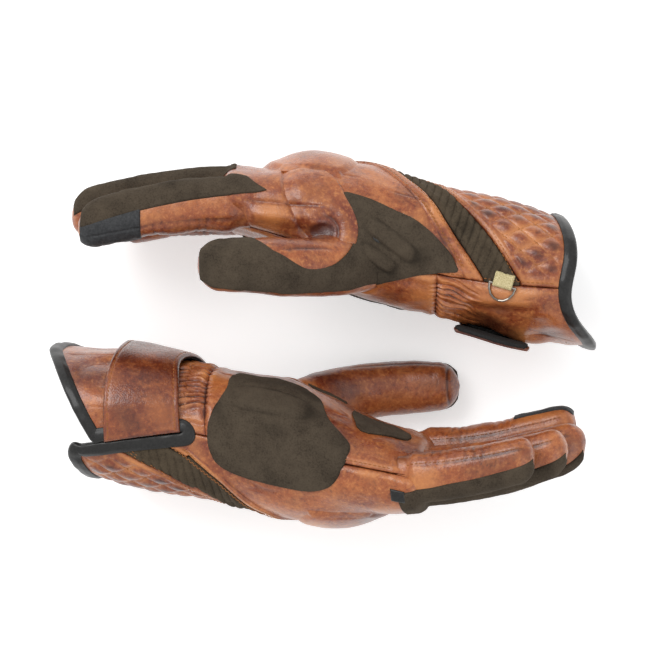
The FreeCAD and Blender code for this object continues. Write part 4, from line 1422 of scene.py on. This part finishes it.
def onStrap(side, obj, slotName, *nodes):
    dressed(side, nodes)
    x = strap["middleX"]
    bent(side, obj, "strap", *[shellPoint(x, float(littleSeam(x)) - turn) for turn in strap["bendTurn"]])


def dressHand(side, seed, stitches):
    for title, (obj, nodes) in {**leatherPieces(side, seed), **liningPiece(side)}.items():
        onHand(side, obj, slots[title], *nodes)
    print(side, "panels made")
    onHand(side, knuckleCover(side, seed), "tan_leather", "knuckle_cover")
    suede = [suedePatch(side, title, seed, skins["suede"], pads, tilt)
             for title, pads, tilt in (("Thenar", patch["thenarPads"], patch["padTilt"]),
                                       ("Heel", (patch["heelPad"],), 0), ("Crotch", (), 0))]
    onHand(side, joinObjects(suede, side + "PalmSuede"), "brown_suede", "palm_suede")
    onHand(side, gussetPiece(side, seed), "tan_leather", "thumb_gusset")
    pads = padPieces(side)
    onHand(side, pads, "gel", "palm_gel_pads")
    onHand(side, sideTag(side, seed), "black_tag", "side_tag")
    onHand(side, bindingPiece(side), "black_binding", "edge_binding")
    onHand(side, ringTape(side), "khaki_tape", "ring_tape")
    print(side, "patches and edges made")
    for title, (obj, nodes) in strapPieces(side, seed).items():
        if title == "StrapLeather":
            onStrap(side, obj, slots[title], *nodes)
        else:
            dressed(side, nodes)
            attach(obj, side + ("_hand" if title == "LoopPad" else "_strap"))
    thread = stitched(side + "StrapStitches", side, strapSeams(side, seed), stitches, 2.6, 1.9, 0.24)
    onStrap(side, thread, "tan_leather")


def dressFingers(side, seed, stitches):
    for k, name in enumerate(finger["places"]):
        own = seed + 40 + 7 * k
        onFinger(side, name, fingerPiece(side, name, own), "tan_leather", name + "_stall")
        title, starts, end, angles = fingerSuede[name]
        strip = overFinger(side, name, title, own, seed, starts, end, angles, (44, 90), skins["suede"])
        onFinger(side, name, strip, "brown_suede", name + "_suede_back")
        thread = stitched(side + name.capitalize() + "Stitches", side, fingerSeams(name, own), stitches,
                          2.4, 1.7, 0.2)
        onFinger(side, name, thread, "tan_leather")
    touch = overFinger(side, "index", "TouchPatch", seed + 40, seed, (0.6, 0.6), 0.988, (78, 200, 90, 200),
                       (70, 60), skins["blackSuede"], 0.75)
    onFinger(side, "index", touch, "black_suede", "touch_patch")
    onThumb(side, thumbPiece(side, seed), "tan_leather", "thumb_base", "thumb_stall")
    onThumb(side, overThumb(side, seed), "brown_suede", "thumb_suede")
    print(side, "fingers and thumb made")


def dress(side, seed, stitches):
    dressHand(side, seed, stitches)
    dressFingers(side, seed, stitches)
    for title, lines, spacing in (("HandStitches", handSeams(seed), 2.5),
                                  ("QuiltStitches", quiltSeams(seed), 2.3)):
        thread = stitched(side + title, side, lines, stitches, spacing, 0.75 * spacing, 0.21)
        onHand(side, thread, "tan_leather")
    for node, skin in (("d_ring", "steel"), ("knuckle_guard", "guard")):
        part = frame["nodes"][side + "_" + node]
        part.data.materials.clear()
        part.data.materials.append(skins[skin])
    print(side, "glove made")


tanStitches = stitchGroup(skins["thread"])
for side, seed in (("right", 11), ("left", 211)):
    dress(side, seed, tanStitches)


# Floor, light and camera

view = {
    "eye": (0.0016, 0.0071, 1.403),
    "lens": 135,
    "sensor": 36,
    "floorGlow": 0.42,
    "sky": 0.72,
    "keyPower": 7.0,
    "fillPower": 2.6,
}


def areaLight(name, place, target, size, power):
    light = bpy.data.lights.new(name, "AREA")
    light.shape, light.size, light.size_y = "RECTANGLE", size[0], size[1]
    light.energy = power
    obj = linked(name, light)
    obj.location = place
    obj.rotation_euler = (Vector(target) - Vector(place)).to_track_quat("-Z", "Y").to_euler()
    return obj


def floorMaterial():
    # white paper, which keeps a soft shadow and no edge
    material, tree, surface = blankMaterial("studioFloor")
    seen = addNode(tree, "ShaderNodeLightPath").outputs
    straight = seen["Is Camera Ray"]
    for ray in ("Is Glossy Ray", "Is Transmission Ray"):
        straight = mathNode(tree, "MAXIMUM", straight, seen[ray])
    setInputs(tree, surface, BaseColor=(0.93, 0.93, 0.93, 1), Roughness=0.9, SpecularIORLevel=0.1,
              EmissionStrength=spread(tree, straight, 0.0, 1.0, 0.0, view["floorGlow"]),
              EmissionColor=(1, 1, 1, 1))
    return material


def studio():
    mesh = bpy.data.meshes.new("floor")
    mesh.from_pydata([(-4, -4, 0), (4, -4, 0), (4, 4, 0), (-4, 4, 0)], [], [(0, 1, 2, 3)])
    mesh.materials.append(floorMaterial())
    floor = linked("floor", mesh)
    world = bpy.data.worlds.new("studio")
    world.use_nodes = True
    world.node_tree.nodes["Background"].inputs["Color"].default_value = (1, 1, 1, 1)
    world.node_tree.nodes["Background"].inputs["Strength"].default_value = view["sky"]
    bpy.context.scene.world = world
    lights = [areaLight("keyLight", (-0.5, 0.55, 1.0), (0, 0, 0.05), (0.7, 0.7), view["keyPower"]),
              areaLight("fillLight", (0.8, -0.5, 0.9), (0, 0, 0.05), (0.9, 0.9), view["fillPower"])]
    camera = bpy.data.cameras.new("camera")
    camera.lens = view["lens"]
    camera.sensor_width = view["sensor"]
    camera.clip_end = 20
    eye = linked("camera", camera)
    eye.location = view["eye"]
    eye.rotation_euler = (0, 0, 0)
    bpy.context.scene.camera = eye
    bpy.context.scene.view_settings.view_transform = "Standard"


studio()
print("studio made")
